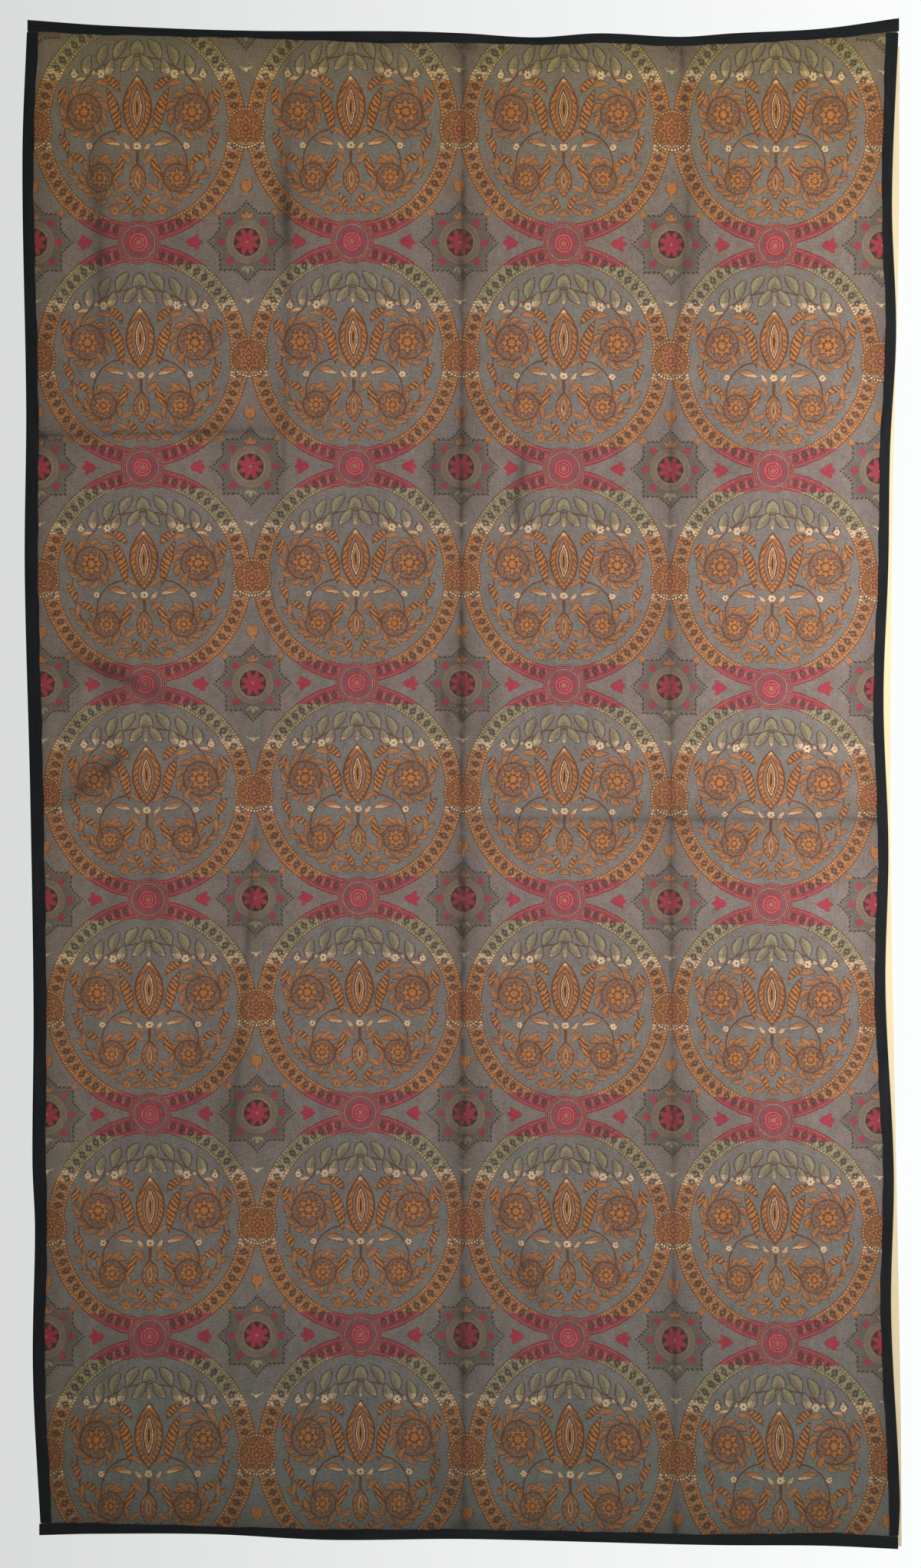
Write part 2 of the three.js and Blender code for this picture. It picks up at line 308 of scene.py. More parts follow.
class Fold:
    """A storage fold pressed into the cloth."""

    FLANK = 34.0
    LINE = 4.5
    SHADOW = 26.0

    def __init__(self, rows: tuple[FoldRow, ...], runs: Across, half: float) -> None:
        """Fits the fold's curves.

        Args:
            rows: the fold's table.
            runs: upright or level.
            half: half the width of the crease itself.
        """
        self.place, self.rise, self.soil_and_shade = (Profile(rows, c) for c in ("out", "rise", "soil_and_shade"))
        self.runs = runs
        self.half = half

    def distance(self, x: np.ndarray, z: np.ndarray) -> tuple[np.ndarray, np.ndarray]:
        """Measures from the fold's line.

        Args:
            x: places across the panel.
            z: heights.

        Returns:
            The distance from the line, and the place along it.
        """
        if self.runs is Across.UPRIGHT:
            return x - self.place(z), z
        return z - self.place(x), x

    def lift(self, x: np.ndarray, z: np.ndarray) -> np.ndarray:
        """The crease's rise towards the viewer: a sharp middle on broad soft flanks."""
        off, along = self.distance(x, z)
        sharp = np.maximum(0, 1 - np.hypot(off, 1.2) / self.half)
        flank = np.exp(-np.abs(off) / self.FLANK)
        return self.rise(along) * (0.75 * sharp + 0.45 * flank)

    def grime_and_shade(self, x: np.ndarray, z: np.ndarray) -> np.ndarray:
        """How much grime and painted shade darken the fold, from 0 to 1: a sharp dark line on a broad painted
        shadow.
        """
        off, along = self.distance(x, z)
        broken = 0.8 + 0.2 * np.sin(along / 37.0) * np.sin(along / 13.0 + 1.0)
        line = 0.85 * broken * np.exp(-((off / self.LINE) ** 2))
        wide = 0.4 + 0.22 * np.sin(along / 53.0 + 1.6)
        return self.soil_and_shade(along) * (line + wide * np.exp(-((off / self.SHADOW) ** 2)))


class HangingShape:
    """The surface in which the panel hangs, shared by every piece. X runs across it and Z up."""

    PUCKER_CELLS = 128
    PUCKER_X, PUCKER_Z = -1000.0, -3000.0
    DIRT_LINE, DIRT_SHADOW = 6.0, 17.0
    YELLOW_DOWN, YELLOW_IN, DUSK_UP = 210.0, 190.0, 300.0

    def __init__(self) -> None:
        """Reads the tables."""
        self.top, self.bottom = Edge(TOP_EDGE), Edge(BOTTOM_EDGE)
        self.left, self.right = Edge(LEFT_EDGE), Edge(RIGHT_EDGE)
        self.upright = [
            Fold(LEFT_QUARTER_FOLD, Across.UPRIGHT, 10.0),
            Fold(CENTRE_FOLD, Across.UPRIGHT, 9.0),
            Fold(RIGHT_QUARTER_FOLD, Across.UPRIGHT, 9.0),
        ]
        self.level = [
            Fold(UPPER_LEVEL_FOLD, Across.LEVEL, 10.0),
            Fold(LOWER_LEVEL_FOLD, Across.LEVEL, 9.0),
        ]

    def swell(self, x: np.ndarray, z: np.ndarray) -> np.ndarray:
        """How far the whole panel stands towards the viewer."""
        return sum(s.rise * np.exp(-(((x - s.x) / s.wide) ** 2) - ((z - s.z) / s.tall) ** 2) for s in SWELLS)

    def inside(self, x: np.ndarray, z: np.ndarray) -> np.ndarray:
        """The distance from the nearest outer fold of the tape."""
        sides = (x - self.left.out(z), self.right.out(z) - x, self.top.out(x) - z, z - self.bottom.out(x))
        return np.minimum.reduce(sides)

    def wrinkle_places(self, x: np.ndarray, z: np.ndarray) -> list[tuple[Wrinkle, np.ndarray, np.ndarray]]:
        """Each wrinkle with its strength along its length and the distance from its line."""
        places = []
        for w in WRINKLES:
            along_x, along_z = w.x1 - w.x0, w.z1 - w.z0
            length = math.hypot(along_x, along_z)
            t = ((x - w.x0) * along_x + (z - w.z0) * along_z) / length**2
            off = ((x - w.x0) * along_z - (z - w.z0) * along_x) / length
            places.append((w, np.sin(np.pi * np.clip(t, 0, 1)), off))
        return places

    def wrinkles(self, x: np.ndarray, z: np.ndarray) -> np.ndarray:
        """The rise of the soft wrinkles."""
        places = self.wrinkle_places(x, z)
        return sum(w.rise * full * np.exp(-((off / w.half) ** 2)) for w, full, off in places)

    def puckers(self, x: np.ndarray, z: np.ndarray) -> np.ndarray:
        """The rise of the small puckers, which are strongest towards the left side."""
        total, cells = np.zeros_like(x), self.PUCKER_CELLS
        for p in PUCKERS:
            grid = np.random.default_rng(p.seed).uniform(-1, 1, (cells, cells))
            u, v = (x - self.PUCKER_X) / p.wide, (z - self.PUCKER_Z) / p.tall
            i, j = np.floor(u).astype(int), np.floor(v).astype(int)
            s, t = (u - i) ** 2 * (3 - 2 * (u - i)), (v - j) ** 2 * (3 - 2 * (v - j))
            low, high = (
                grid[i % cells, row % cells] * (1 - s) + grid[(i + 1) % cells, row % cells] * s
                for row in (j, j + 1)
            )
            total += p.rise * (low * (1 - t) + high * t)
        return total * (0.75 + 0.9 * np.exp(-(((x + 520) / 230) ** 2)))

    def crease(self, x: np.ndarray, z: np.ndarray) -> np.ndarray:
        """The rise of the cloth's own folds and wrinkles, dying out before the rim that the tapes grip."""
        folds = sum(f.lift(x, z) for f in (*self.upright, *self.level))
        rise = folds + self.wrinkles(x, z) + self.puckers(x, z)
        share = np.clip((self.inside(x, z) - RIM) / CREASE_FADE, 0, 1)
        fade = share * share * (3 - 2 * share)
        trough = DEEPEST_TROUGH * np.tanh(rise / DEEPEST_TROUGH)
        return fade * np.where(rise < 0, trough, rise)

    def soil_and_shade(self, x: np.ndarray, z: np.ndarray) -> np.ndarray:
        """How much grime and painted shade darken the cloth, from 0 to 1: grime and painted shade along its
        folds and wrinkles, and a little painted shade along its rim beside the tapes.
        """
        grime_and_shade = sum(f.grime_and_shade(x, z) for f in (*self.upright, *self.level))
        # Grime and painted shade along each wrinkle: a dark line on a broad painted shadow.
        for w, full, off in self.wrinkle_places(x, z):
            line = 0.6 * np.exp(-((off / self.DIRT_LINE) ** 2))
            grime_and_shade += w.soil_and_shade * full * (line + 0.4 * np.exp(-((off / self.DIRT_SHADOW) ** 2)))
        # Painted shade along the rim, where the tapes lie over the cloth.
        rim = 0.35 * np.exp(-np.maximum(self.inside(x, z) - RIM, 0) / 12.0)
        return np.clip(grime_and_shade + rim, 0, 1)

    def age(self, x: np.ndarray, z: np.ndarray) -> np.ndarray:
        """How much yellower the cloth is tinted, from 0 to 1: most along its top, less down its left side."""
        below, beside = np.maximum(self.top.out(x) - z, 0), np.maximum(x - self.left.out(z), 0)
        return np.clip(np.exp(-below / self.YELLOW_DOWN) + 0.35 * np.exp(-beside / self.YELLOW_IN), 0, 1)

    def base_shade(self, x: np.ndarray, z: np.ndarray) -> np.ndarray:
        """How much painted shade darkens and cools the cloth, from 0 to 1: most along its base."""
        return np.exp(-np.maximum(z - self.bottom.out(x), 0) / self.DUSK_UP)


# Meshes


def new_grid(columns: int, rows: int, **settings: object) -> bpy.types.Object:
    """A flat grid with its turn, place and size applied."""
    bpy.ops.object.select_all(action="DESELECT")
    bpy.ops.mesh.primitive_grid_add(x_subdivisions=columns, y_subdivisions=rows, **settings)
    return bpy.context.object


def points_of(obj: bpy.types.Object) -> np.ndarray:
    """The mesh's points as rows of three numbers."""
    flat = np.empty(len(obj.data.vertices) * 3, np.float32)
    obj.data.vertices.foreach_get("co", flat)
    return flat.reshape(-1, 3).astype(float)


def set_points(obj: bpy.types.Object, points: np.ndarray) -> None:
    """Moves the mesh's points to the given rows of three numbers."""
    obj.data.vertices.foreach_set("co", points.astype(np.float32).ravel())
    obj.data.update()


def thicken(obj: bpy.types.Object, thickness: float) -> None:
    """Gives a sheet its thickness evenly about its middle, and makes its faces point outwards.

    Args:
        obj: the sheet.
        thickness: in millimetres.
    """
    bpy.ops.object.select_all(action="DESELECT")
    obj.select_set(True)
    bpy.context.view_layer.objects.active = obj
    wall = obj.modifiers.new("wall", "SOLIDIFY")
    wall.thickness, wall.offset = thickness * MM, 0.0
    wall.use_even_offset = False
    bpy.ops.object.modifier_apply(modifier=wall.name)
    bpy.ops.object.mode_set(mode="EDIT")
    bpy.ops.mesh.select_all(action="SELECT")
    bpy.ops.mesh.normals_make_consistent(inside=False)
    bpy.ops.object.mode_set(mode="OBJECT")
    bpy.ops.object.shade_smooth_by_angle(angle=SMOOTH_UNDER)


def keep_number(obj: bpy.types.Object, name: str, values: np.ndarray) -> None:
    """Stores a number at each of the mesh's points under a name that materials read."""
    layer = obj.data.attributes.new(name, "FLOAT", "POINT")
    layer.data.foreach_set("value", values.astype(np.float32))


def keep_place(obj: bpy.types.Object, name: str, u: np.ndarray, v: np.ndarray) -> None:
    """Stores a place on the flat cloth at each of the mesh's points, with 1 as its third number."""
    layer = obj.data.attributes.new(name, "FLOAT_VECTOR", "POINT")
    layer.data.foreach_set("vector", np.column_stack([u, v, np.ones_like(u)]).astype(np.float32).ravel())


def flat_grid(name: str, columns: int, rows: int) -> tuple[bpy.types.Object, np.ndarray]:
    """Makes a grid on which X and Y run from 0 to 1.

    Args:
        name: the piece's name.
        columns: cells across.
        rows: cells down.

    Returns:
        The grid, and its points.
    """
    obj = new_grid(columns, rows, size=1, location=(0.5, 0.5, 0))
    obj.name = obj.data.name = name
    bpy.ops.object.transform_apply(location=True, rotation=True, scale=True)
    return obj, points_of(obj)


def spaced(anchors: list[Line], cells: list[int]) -> Callable[[np.ndarray, np.ndarray], np.ndarray]:
    """Spaces a grid's lines between given ones.

    Args:
        anchors: lines that the grid's own lines follow, in order across the sheet.
        cells: the number of cells between each line and the next.

    Returns:
        A function from shares of the grid, 0 to 1, and places along the lines, to positions.
    """
    stops = np.concatenate([[0], np.cumsum(cells)]) / sum(cells)

    def position(share: np.ndarray, at: np.ndarray) -> np.ndarray:
        """The position of each share at each place."""
        lines = np.stack([anchor(at) for anchor in anchors])
        part = np.clip(np.searchsorted(stops, share + 1e-6, side="right") - 1, 0, len(cells) - 1)
        t = (share - stops[part]) / (stops[part + 1] - stops[part])
        columns = np.arange(len(share))
        return lines[part, columns] * (1 - t) + lines[part + 1, columns] * t

    return position


def laid_sheet(
    name: str, across: list[Line], upward: list[Line], columns: list[int], rows: list[int]
) -> tuple[bpy.types.Object, np.ndarray, np.ndarray]:
    """Makes a grid for a sheet whose lines follow given ones both ways.

    Args:
        name: the piece's name.
        across: the upright lines, from left to right.
        upward: the level lines, from the base up.
        columns: the number of cells between each upright line and the next.
        rows: the number of cells between each level line and the next.

    Returns:
        The grid, and each point's place across the panel and its height.
    """
    obj, share = flat_grid(name, sum(columns), sum(rows))
    x_at, z_at = spaced(across, columns), spaced(upward, rows)
    x = x_at(share[:, 0], (share[:, 1] - 1) * NOMINAL_HEIGHT)
    x = x_at(share[:, 0], z_at(share[:, 1], x))
    return obj, x, z_at(share[:, 1], x)


@dataclass
class FiguredPanel:
    """The figured cloth itself, a fine sheet on the folds of its solid."""

    shape: HangingShape
    fine: float = 9.0
    crease_cells: int = 6
    crease_reach: float = 13.0
    face_share: float = 0.965
    map_gap: float = 0.005

    def anchors(self, folds: list[Fold], low: Line, high: Line) -> list[Line]:
        """The lines the grid follows: both hidden margins, both rims, and each fold with its flanks."""

        def beside(fold: Fold, side: float) -> Line:
            """The line on one side of a fold."""
            return lambda at: fold.place(at) + side * self.crease_reach

        flanks = [beside(fold, side) for fold in folds for side in (-1, 1)]
        return [low, lambda at: low(at) + RIM, *flanks, lambda at: high(at) - RIM, high]

    def cell_counts(self, anchors: list[Line], middle: float) -> list[int]:
        """How many cells lie between neighbouring anchors, from their places at one height."""
        places = [float(a(np.array([middle]))[0]) for a in anchors]
        counts = [max(1, round((b - a) / self.fine)) for a, b in zip(places, places[1:])]
        for i in range(2, len(counts) - 2, 2):
            counts[i] = self.crease_cells
        return counts

    def build(self) -> bpy.types.Object:
        """Makes the cloth's mesh, with its place in the drawing and its grime and painted shade stored on its
        points.
        """
        s = self.shape
        left, right = lambda z: s.left.out(z) + CLOTH_TUCK, lambda z: s.right.out(z) - CLOTH_TUCK
        base, top = lambda x: s.bottom.out(x) + CLOTH_TUCK, lambda x: s.top.out(x) - CLOTH_TUCK
        across = self.anchors(s.upright, left, right)
        upward = self.anchors(s.level[::-1], base, top)
        columns = self.cell_counts(across, -NOMINAL_HEIGHT / 2)
        rows = self.cell_counts(upward, 0.0)
        obj, x, z = laid_sheet("figured_panel", across, upward, columns, rows)
        set_points(obj, np.column_stack([x, -s.swell(x, z) - s.crease(x, z), z]) * MM)
        thicken(obj, CLOTH_THICKNESS)
        self.store_drawing_places(obj)
        self.lay_out_map(obj)
        return obj

    def store_drawing_places(self, obj: bpy.types.Object) -> None:
        """Stores each point's place in the drawing, whose repeats lean and stretch as the cloth does."""
        points = points_of(obj) / MM
        x, z = points[:, 0], points[:, 2]
        columns = [Profile(DRAWING_COLUMNS, name)(z) for name in ColumnsRow._fields[1:]]
        u = np.zeros_like(x)
        for i, (near, far) in enumerate(zip(columns, columns[1:])):
            from_left = x >= near if i else np.ones_like(x, bool)
            u = np.where(from_left, (i + (x - near) / (far - near)) * REPEAT_WIDE, u)
        u -= SIDE_DRIFT * np.sin(np.pi * u / REPEAT_WIDE) ** 2
        down = -z / NOMINAL_HEIGHT
        sag = Profile(ROW_SAG, "top")(x) * (1 - down) + Profile(ROW_SAG, "base")(x) * down
        row = np.linspace(JOIN_HEIGHTS[0].at, JOIN_HEIGHTS[-1].at, 200)
        v = -np.interp(-(z + sag), -Profile(JOIN_HEIGHTS)(row), row) * REPEAT_TALL
        keep_place(obj, "drawing", u, v)
        # Stores the grime with painted shade, the yellow tint and the painted shade towards the base.
        for name in ("soil_and_shade", "age", "base_shade"):
            keep_number(obj, name, getattr(self.shape, name)(x, z))

    def lay_out_map(self, obj: bpy.types.Object) -> None:
        """Lays the face out over nearly the whole of the map, and the hidden back in a strip beside it."""
        mesh = obj.data
        points = points_of(obj)
        low, high = points.min(0), points.max(0)
        flat = (points - low) / (high - low)
        normals = np.empty(len(mesh.polygons) * 3, np.float32)
        mesh.polygons.foreach_get("normal", normals)
        sizes = np.empty(len(mesh.polygons), int)
        mesh.polygons.foreach_get("loop_total", sizes)
        vertex = np.empty(len(mesh.loops), int)
        mesh.loops.foreach_get("vertex_index", vertex)
        facing = (normals.reshape(-1, 3)[:, 1] < -0.5).repeat(sizes)
        u, strip = flat[vertex, 0], self.face_share + self.map_gap
        u = np.where(facing, u * self.face_share, strip + u * (1 - strip))
        layer = mesh.uv_layers.new(name="OFBake")
        layer.uv.foreach_set("vector", np.column_stack([u, flat[vertex, 2]]).astype(np.float32).ravel())


@dataclass
class EdgeTape:
    """One folded tape: its front leg, round fold and back leg around the panel's edge."""

    name: str
    edge: Edge
    shape: HangingShape
    runs: Across
    inward: float
    start: float
    end: float
    step: float = 7.0
    leg_cells: int = 5
    fold_cells: int = 6
    seed: int = 1

    def build(self) -> bpy.types.Object:
        """Makes the tape's mesh, with its length and width stored on its points."""
        count = round(abs(self.end - self.start) / self.step)
        around = 2 * self.leg_cells + self.fold_cells
        obj, share = flat_grid(self.name, count, around)
        at = self.start + (self.end - self.start) * share[:, 0]
        inward, y = self.section(share[:, 1] * around, at)
        x, z = self.edge.out(at) + self.inward * inward, at
        if self.runs is Across.LEVEL:
            x, z = z, x
        set_points(obj, np.column_stack([x, y - self.shape.swell(x, z), z]) * MM)
        keep_place(obj, "tape", at - min(self.start, self.end), np.where(y < 0, -1, 1) * inward)
        thicken(obj, TAPE_THICKNESS)
        return obj

    def section(self, line: np.ndarray, at: np.ndarray) -> tuple[np.ndarray, np.ndarray]:
        """Follows the middle of the tape's thickness round its section.

        Args:
            line: the grid line round the section, from the front leg's edge to the back leg's.
            at: the place along the edge.

        Returns:
            The distance inward of the outer fold, and the depth.
        """
        radius = CLOTH_THICKNESS / 2 + GAP + TAPE_THICKNESS / 2
        outer = radius + TAPE_THICKNESS / 2
        wander = 0.5 * np.sin(at / 23.0 + self.seed) + 0.4 * np.sin(at / 9.5 + 2.0 * self.seed)
        wide = self.edge.wide(at) + wander
        turn = np.clip((line - self.leg_cells) / self.fold_cells, 0, 1) * np.pi
        front = np.clip(1 - line / self.leg_cells, 0, 1)
        back = np.clip((line - self.leg_cells - self.fold_cells) / self.leg_cells, 0, 1)
        leg = np.maximum(front, back)
        return outer - radius * np.sin(turn) + leg * (wide - outer), -radius * np.cos(turn)


@dataclass
class BackLining:
    """The plain cloth behind the panel, which stands out a little beyond its right edge."""

    shape: HangingShape
    cell: float = 18.0

    def build(self) -> bpy.types.Object:
        """Makes the lining's mesh."""
        s = self.shape
        right = Profile(LINING_RIGHT_EDGE)
        across = [lambda z: s.left.out(z) + LINING_TUCK, right]
        upward = [lambda x: s.bottom.out(x) + LINING_TUCK / 2, Profile(LINING_TOP_EDGE)]
        zero = np.array([0.0])
        columns = round((right(zero)[0] - s.left.out(zero)[0]) / self.cell)
        rows = round(NOMINAL_HEIGHT / self.cell)
        obj, x, z = laid_sheet("back_lining", across, upward, [columns], [rows])
        behind = CLOTH_THICKNESS / 2 + GAP + TAPE_THICKNESS + GAP + LINING_THICKNESS / 2
        set_points(obj, np.column_stack([x, behind - s.swell(x, z), z]) * MM)
        keep_place(obj, "cloth", x, z)
        thicken(obj, LINING_THICKNESS)
        return obj


# Drawing with shader maths


Number = Union[float, "Field"]


class Field:
    """A number that varies over a surface, held as a shader socket, with everyday arithmetic."""

    def __init__(self, socket: Socket) -> None:
        """Holds the output that carries the number."""
        self.socket = socket

    def calc(self, operation: str, *others: Number) -> "Field":
        """Puts this and other numbers through a Math node.

        Args:
            operation: the node's operation.
            others: its further inputs.

        Returns:
            The node's result.
        """
        node = self.socket.id_data.nodes.new("ShaderNodeMath")
        node.operation = operation
        for slot, value in zip(node.inputs, (self, *others)):
            feed(slot, value)
        return Field(node.outputs[0])

    def __add__(self, other: Number) -> "Field":
        """This plus other."""
        return self.calc("ADD", other)

    def __sub__(self, other: Number) -> "Field":
        """This minus other."""
        return self.calc("SUBTRACT", other)

    def __rsub__(self, other: float) -> "Field":
        """Other minus this."""
        return self.calc("MULTIPLY_ADD", -1.0, other)

    def __mul__(self, other: Number) -> "Field":
        """This times other."""
        return self.calc("MULTIPLY", other)

    def __truediv__(self, other: Number) -> "Field":
        """This over other."""
        return self.calc("DIVIDE", other)

    def __abs__(self) -> "Field":
        """This without its sign."""
        return self.calc("ABSOLUTE")

    def least(self, other: Number) -> "Field":
        """The smaller of this and other."""
        return self.calc("MINIMUM", other)

    def most(self, other: Number) -> "Field":
        """The larger of this and other."""
        return self.calc("MAXIMUM", other)

    def ramped(self, start: float, gain: float, limit: float = 1.0) -> "Field":
        """0 where this reaches start, and past it gain times the rest, up to limit."""
        return ((self - start) * gain).most(0.0).least(limit)

    def under(self, limit: Number) -> "Field":
        """1 where this is under limit, and else 0."""
        return self.calc("LESS_THAN", limit)

    def over(self, limit: Number) -> "Field":
        """1 where this is over limit, and else 0."""
        return self.calc("GREATER_THAN", limit)

    def near(self, value: Number, reach: float) -> "Field":
        """1 where this is within reach of value, and else 0."""
        return self.calc("COMPARE", value, reach)

    def folded(self, period: float) -> "Field":
        """The distance to the nearest whole multiple of period."""
        return self.calc("PINGPONG", period / 2)


def feed(slot: Socket, value: object) -> None:
    """Links a socket or a Field to slot, or sets slot to a plain value."""
    if isinstance(value, Field):
        value = value.socket
    if isinstance(value, Socket):
        value.id_data.links.new(value, slot)
    else:
        slot.default_value = value


class Spot:
    """A place on the drawing as a vector socket (x, y, 1), so that a sloping line is one dot product."""

    def __init__(self, x: Field, y: Field) -> None:
        """Joins the distances across and upward."""
        self.x, self.y = x, y
        joined = x.socket.id_data.nodes.new("ShaderNodeCombineXYZ")
        for slot, value in zip(joined.inputs, (x, y, 1.0)):
            feed(slot, value)
        self.socket = joined.outputs[0]

    def vector_calc(self, operation: str, other: tuple[float, float, float]) -> Field:
        """One Vector Math node on this place and a fixed vector."""
        node = self.socket.id_data.nodes.new("ShaderNodeVectorMath")
        node.operation = operation
        feed(node.inputs[0], self.socket)
        feed(node.inputs[1], other)
        return Field(node.outputs["Value"])

    def slope(self, a: float, b: float, c: float) -> Field:
        """The sloping plane a x + b y + c."""
        return self.vector_calc("DOT_PRODUCT", (a, b, c))

    def far_from(self, x: float, y: float) -> Field:
        """The distance from a point."""
        return self.vector_calc("DISTANCE", (x, y, 1.0))


def direction(degrees: float) -> tuple[float, float]:
    """The cosine and sine of an angle."""
    return math.cos(math.radians(degrees)), math.sin(math.radians(degrees))


@dataclass(frozen=True)
class Leaf:
    """A pointed leaf: its middle, the turn of its length in degrees, its size, and the bend of its rib."""

    x: float
    y: float
    turn: float
    length: float
    width: float
    bend: float = 0.0

    def draw(self, spot: Spot) -> Field:
        """Under 1 inside the leaf, and 0 at its middle."""
        c, s = direction(self.turn)
        half, side = self.length / 2, self.width / 2
        p = spot.slope(c / half, s / half, -(c * self.x + s * self.y) / half)
        q = spot.slope(-s / side, c / side, (s * self.x - c * self.y) / side)
        pp = p * p
        if self.bend:
            q = pp.calc("MULTIPLY_ADD", self.bend, q)
        return pp + abs(q)


class Petal(Enum):
    """How a flower's petals end."""

    ROUND = "round"
    POINTED = "pointed"


@dataclass(frozen=True)
class Blossom:
    """A round flower: its middle, petals, radius, how deep the gaps between petals run, its turn and tips."""

    x: float
    y: float
    petals: int
    radius: float
    gap: float = 0.4
    turn: float = 0.0
    tips: Petal = Petal.ROUND

    def draw(self, spot: Spot) -> Field:
        """Under 1 inside the flower, and 0 at its middle."""
        angle = (spot.y - self.y).calc("ARCTAN2", spot.x - self.x)
        half_turns, depth = self.petals / 2, self.radius * self.gap
        wave = angle.calc("MULTIPLY_ADD", half_turns, math.radians(self.turn) * half_turns)
        if self.tips is Petal.ROUND:
            tip = abs(wave.calc("COSINE")).calc("MULTIPLY_ADD", depth, self.radius - depth)
        else:
            tip = abs(wave.calc("SINE")).calc("MULTIPLY_ADD", -depth, self.radius)
        return spot.far_from(self.x, self.y) / tip


@dataclass(frozen=True)
class Tendril:
    """A circle's line: its middle, radius and half thickness, or only its part near one side.

    side is the direction of that part in degrees, and reach how far from the middle it starts.
    """

    x: float
    y: float
    radius: float
    half: float
    side: float = 0.0
    reach: float = math.inf

    def draw(self, spot: Spot) -> Field:
        """Under 1 inside the line."""
        line = abs(spot.far_from(self.x, self.y) - self.radius) * (1 / self.half)
        if self.reach > self.radius:
            return line
        c, s = direction(self.side)
        return line.most(spot.slope(-c, -s, c * self.x + s * self.y + 1 - self.reach))


def together(motifs: tuple, spot: Spot) -> Field:
    """Joins motifs.

    Args:
        motifs: leaves, flowers and tendrils.
        spot: the place on the drawing.

    Returns:
        A field that is under 1 inside any of them.
    """
    total = motifs[0].draw(spot)
    for motif in motifs[1:]:
        total = total.least(motif.draw(spot))
    return total


@dataclass(frozen=True)
class Wreath:
    """Equal leaves round a circle: its middle and radius, their number, size, lean in degrees and bend.

    start keeps only what lies above that height, or below it where it is under 0. line is the outline's dye.
    """

    x: float
    y: float
    radius: float
    count: int
    length: float
    width: float
    lean: float
    bend: float = 0.0
    start: float = 0.0
    line: str = "brown"

    def local(self, spot: Spot) -> Spot:
        """The place seen from the nearest leaf's foot: along the circle, and outward."""
        step = math.pi / self.count
        angle = (spot.y - self.y).calc("ARCTAN2", spot.x - self.x).calc("WRAP", step, -step)
        return Spot(angle * self.radius, spot.far_from(self.x, self.y) - self.radius)

    def halves(self, spot: Spot) -> tuple[Field, Field]:
        """A field that is under 1 inside the leaves, and 1 on the shaded side of their ribs."""
        local = self.local(spot)
        c, s = direction(self.lean)
        half, side = self.length / 2, self.width / 2
        rise = half * abs(s)
        p = local.slope(c / half, s / half, -s * rise / half)
        pp = p * p
        q = pp.calc("MULTIPLY_ADD", self.bend, local.slope(-s / side, c / side, -c * rise / side))
        shape = pp + abs(q)
        if self.start:
            shape = shape.most(spot.slope(0, -math.copysign(1, self.start), abs(self.start) + 1))
        return shape, q.under(0.0)


def dye(code: str) -> tuple[float, float, float, float]:
    """A colour for a shader from six hexadecimal digits, as it looks."""
    parts = (int(code[i : i + 2], 16) / 255 for i in (0, 2, 4))
    linear = [p / 12.92 if p <= 0.04045 else ((p + 0.055) / 1.055) ** 2.4 for p in parts]
    return (*linear, 1.0)


class Finish:
    """A material being made: its tree, and short ways to add the nodes that all finishes use."""

    def __init__(self, name: str) -> None:
        """Starts the material of a name."""
        self.material = bpy.data.materials.new(name)
        self.material.use_nodes = True
        self.tree = self.material.node_tree
        self.shader = self.tree.nodes["Principled BSDF"]

    def add(self, kind: str, inputs: dict, **settings: object) -> bpy.types.Node:
        """Adds a node.

        Args:
            kind: the node's type.
            inputs: what its inputs are fed with, by their name or number.
            settings: the node's own settings.

        Returns:
            The node.
        """
        node = self.tree.nodes.new(kind)
        for name, value in settings.items():
            setattr(node, name, value)
        for slot, value in inputs.items():
            feed(node.inputs[slot], value)
        return node

    def place(self, name: str) -> Socket:
        """The place on the flat cloth that a mesh stores under a name."""
        return self.add("ShaderNodeAttribute", {}, attribute_name=name).outputs["Vector"]

    def number(self, name: str) -> Field:
        """The number that a mesh stores under a name."""
        return Field(self.add("ShaderNodeAttribute", {}, attribute_name=name).outputs["Fac"])

    def scaled(self, place: Socket, scale: tuple[float, float, float]) -> Socket:
        """A place with each number scaled. As the third is stored as 1, its scale picks one noise of many."""
        return self.add("ShaderNodeVectorMath", {0: place, 1: scale}, operation="MULTIPLY").outputs[0]

    def noise(self, place: Socket, scale: tuple, detail: float = 1.0, rough: float = 0.6) -> Field:
        """Cloudy noise about 0.5."""
        inputs = {"Vector": self.scaled(place, scale), "Scale": 1.0, "Detail": detail, "Roughness": rough}
        return Field(self.add("ShaderNodeTexNoise", inputs).outputs["Fac"])

    def mix(self, share: Number, a: object, b: object, blend: str = "MIX") -> Socket:
        """Colour a with a share of colour b."""
        inputs = {0: share, 6: a, 7: b}
        return self.add("ShaderNodeMix", inputs, data_type="RGBA", blend_type=blend).outputs[2]

    def ramp(self, value: Field, stops: list[tuple[float, tuple]]) -> Socket:
        """A colour for each value, in steps that start at the stops."""
        node = self.add("ShaderNodeValToRGB", {0: value})
        node.color_ramp.interpolation = "CONSTANT"
        points = node.color_ramp.elements
        while len(points) < len(stops):
            points.new(1.0)
        for point, (position, colour) in zip(points, stops):
            point.position, point.color = position, colour
        return node.outputs[0]

    def relief(self, height: Field, depth: float, strength: float) -> None:
        """Gives the surface a fine relief, with depth in metres."""
        node = self.add("ShaderNodeBump", {"Strength": strength, "Distance": depth, "Height": height})
        feed(self.shader.inputs["Normal"], node.outputs["Normal"])

    def settle(self, colour: object, rough: float, specular: float = 0.5, sheen: float = 0.0) -> None:
        """Sets the shader's colour, roughness, specular level and sheen."""
        names = ("Base Color", "Roughness", "Specular IOR Level", "Sheen Weight")
        for name, value in zip(names, (colour, rough, specular, sheen)):
            feed(self.shader.inputs[name], value)


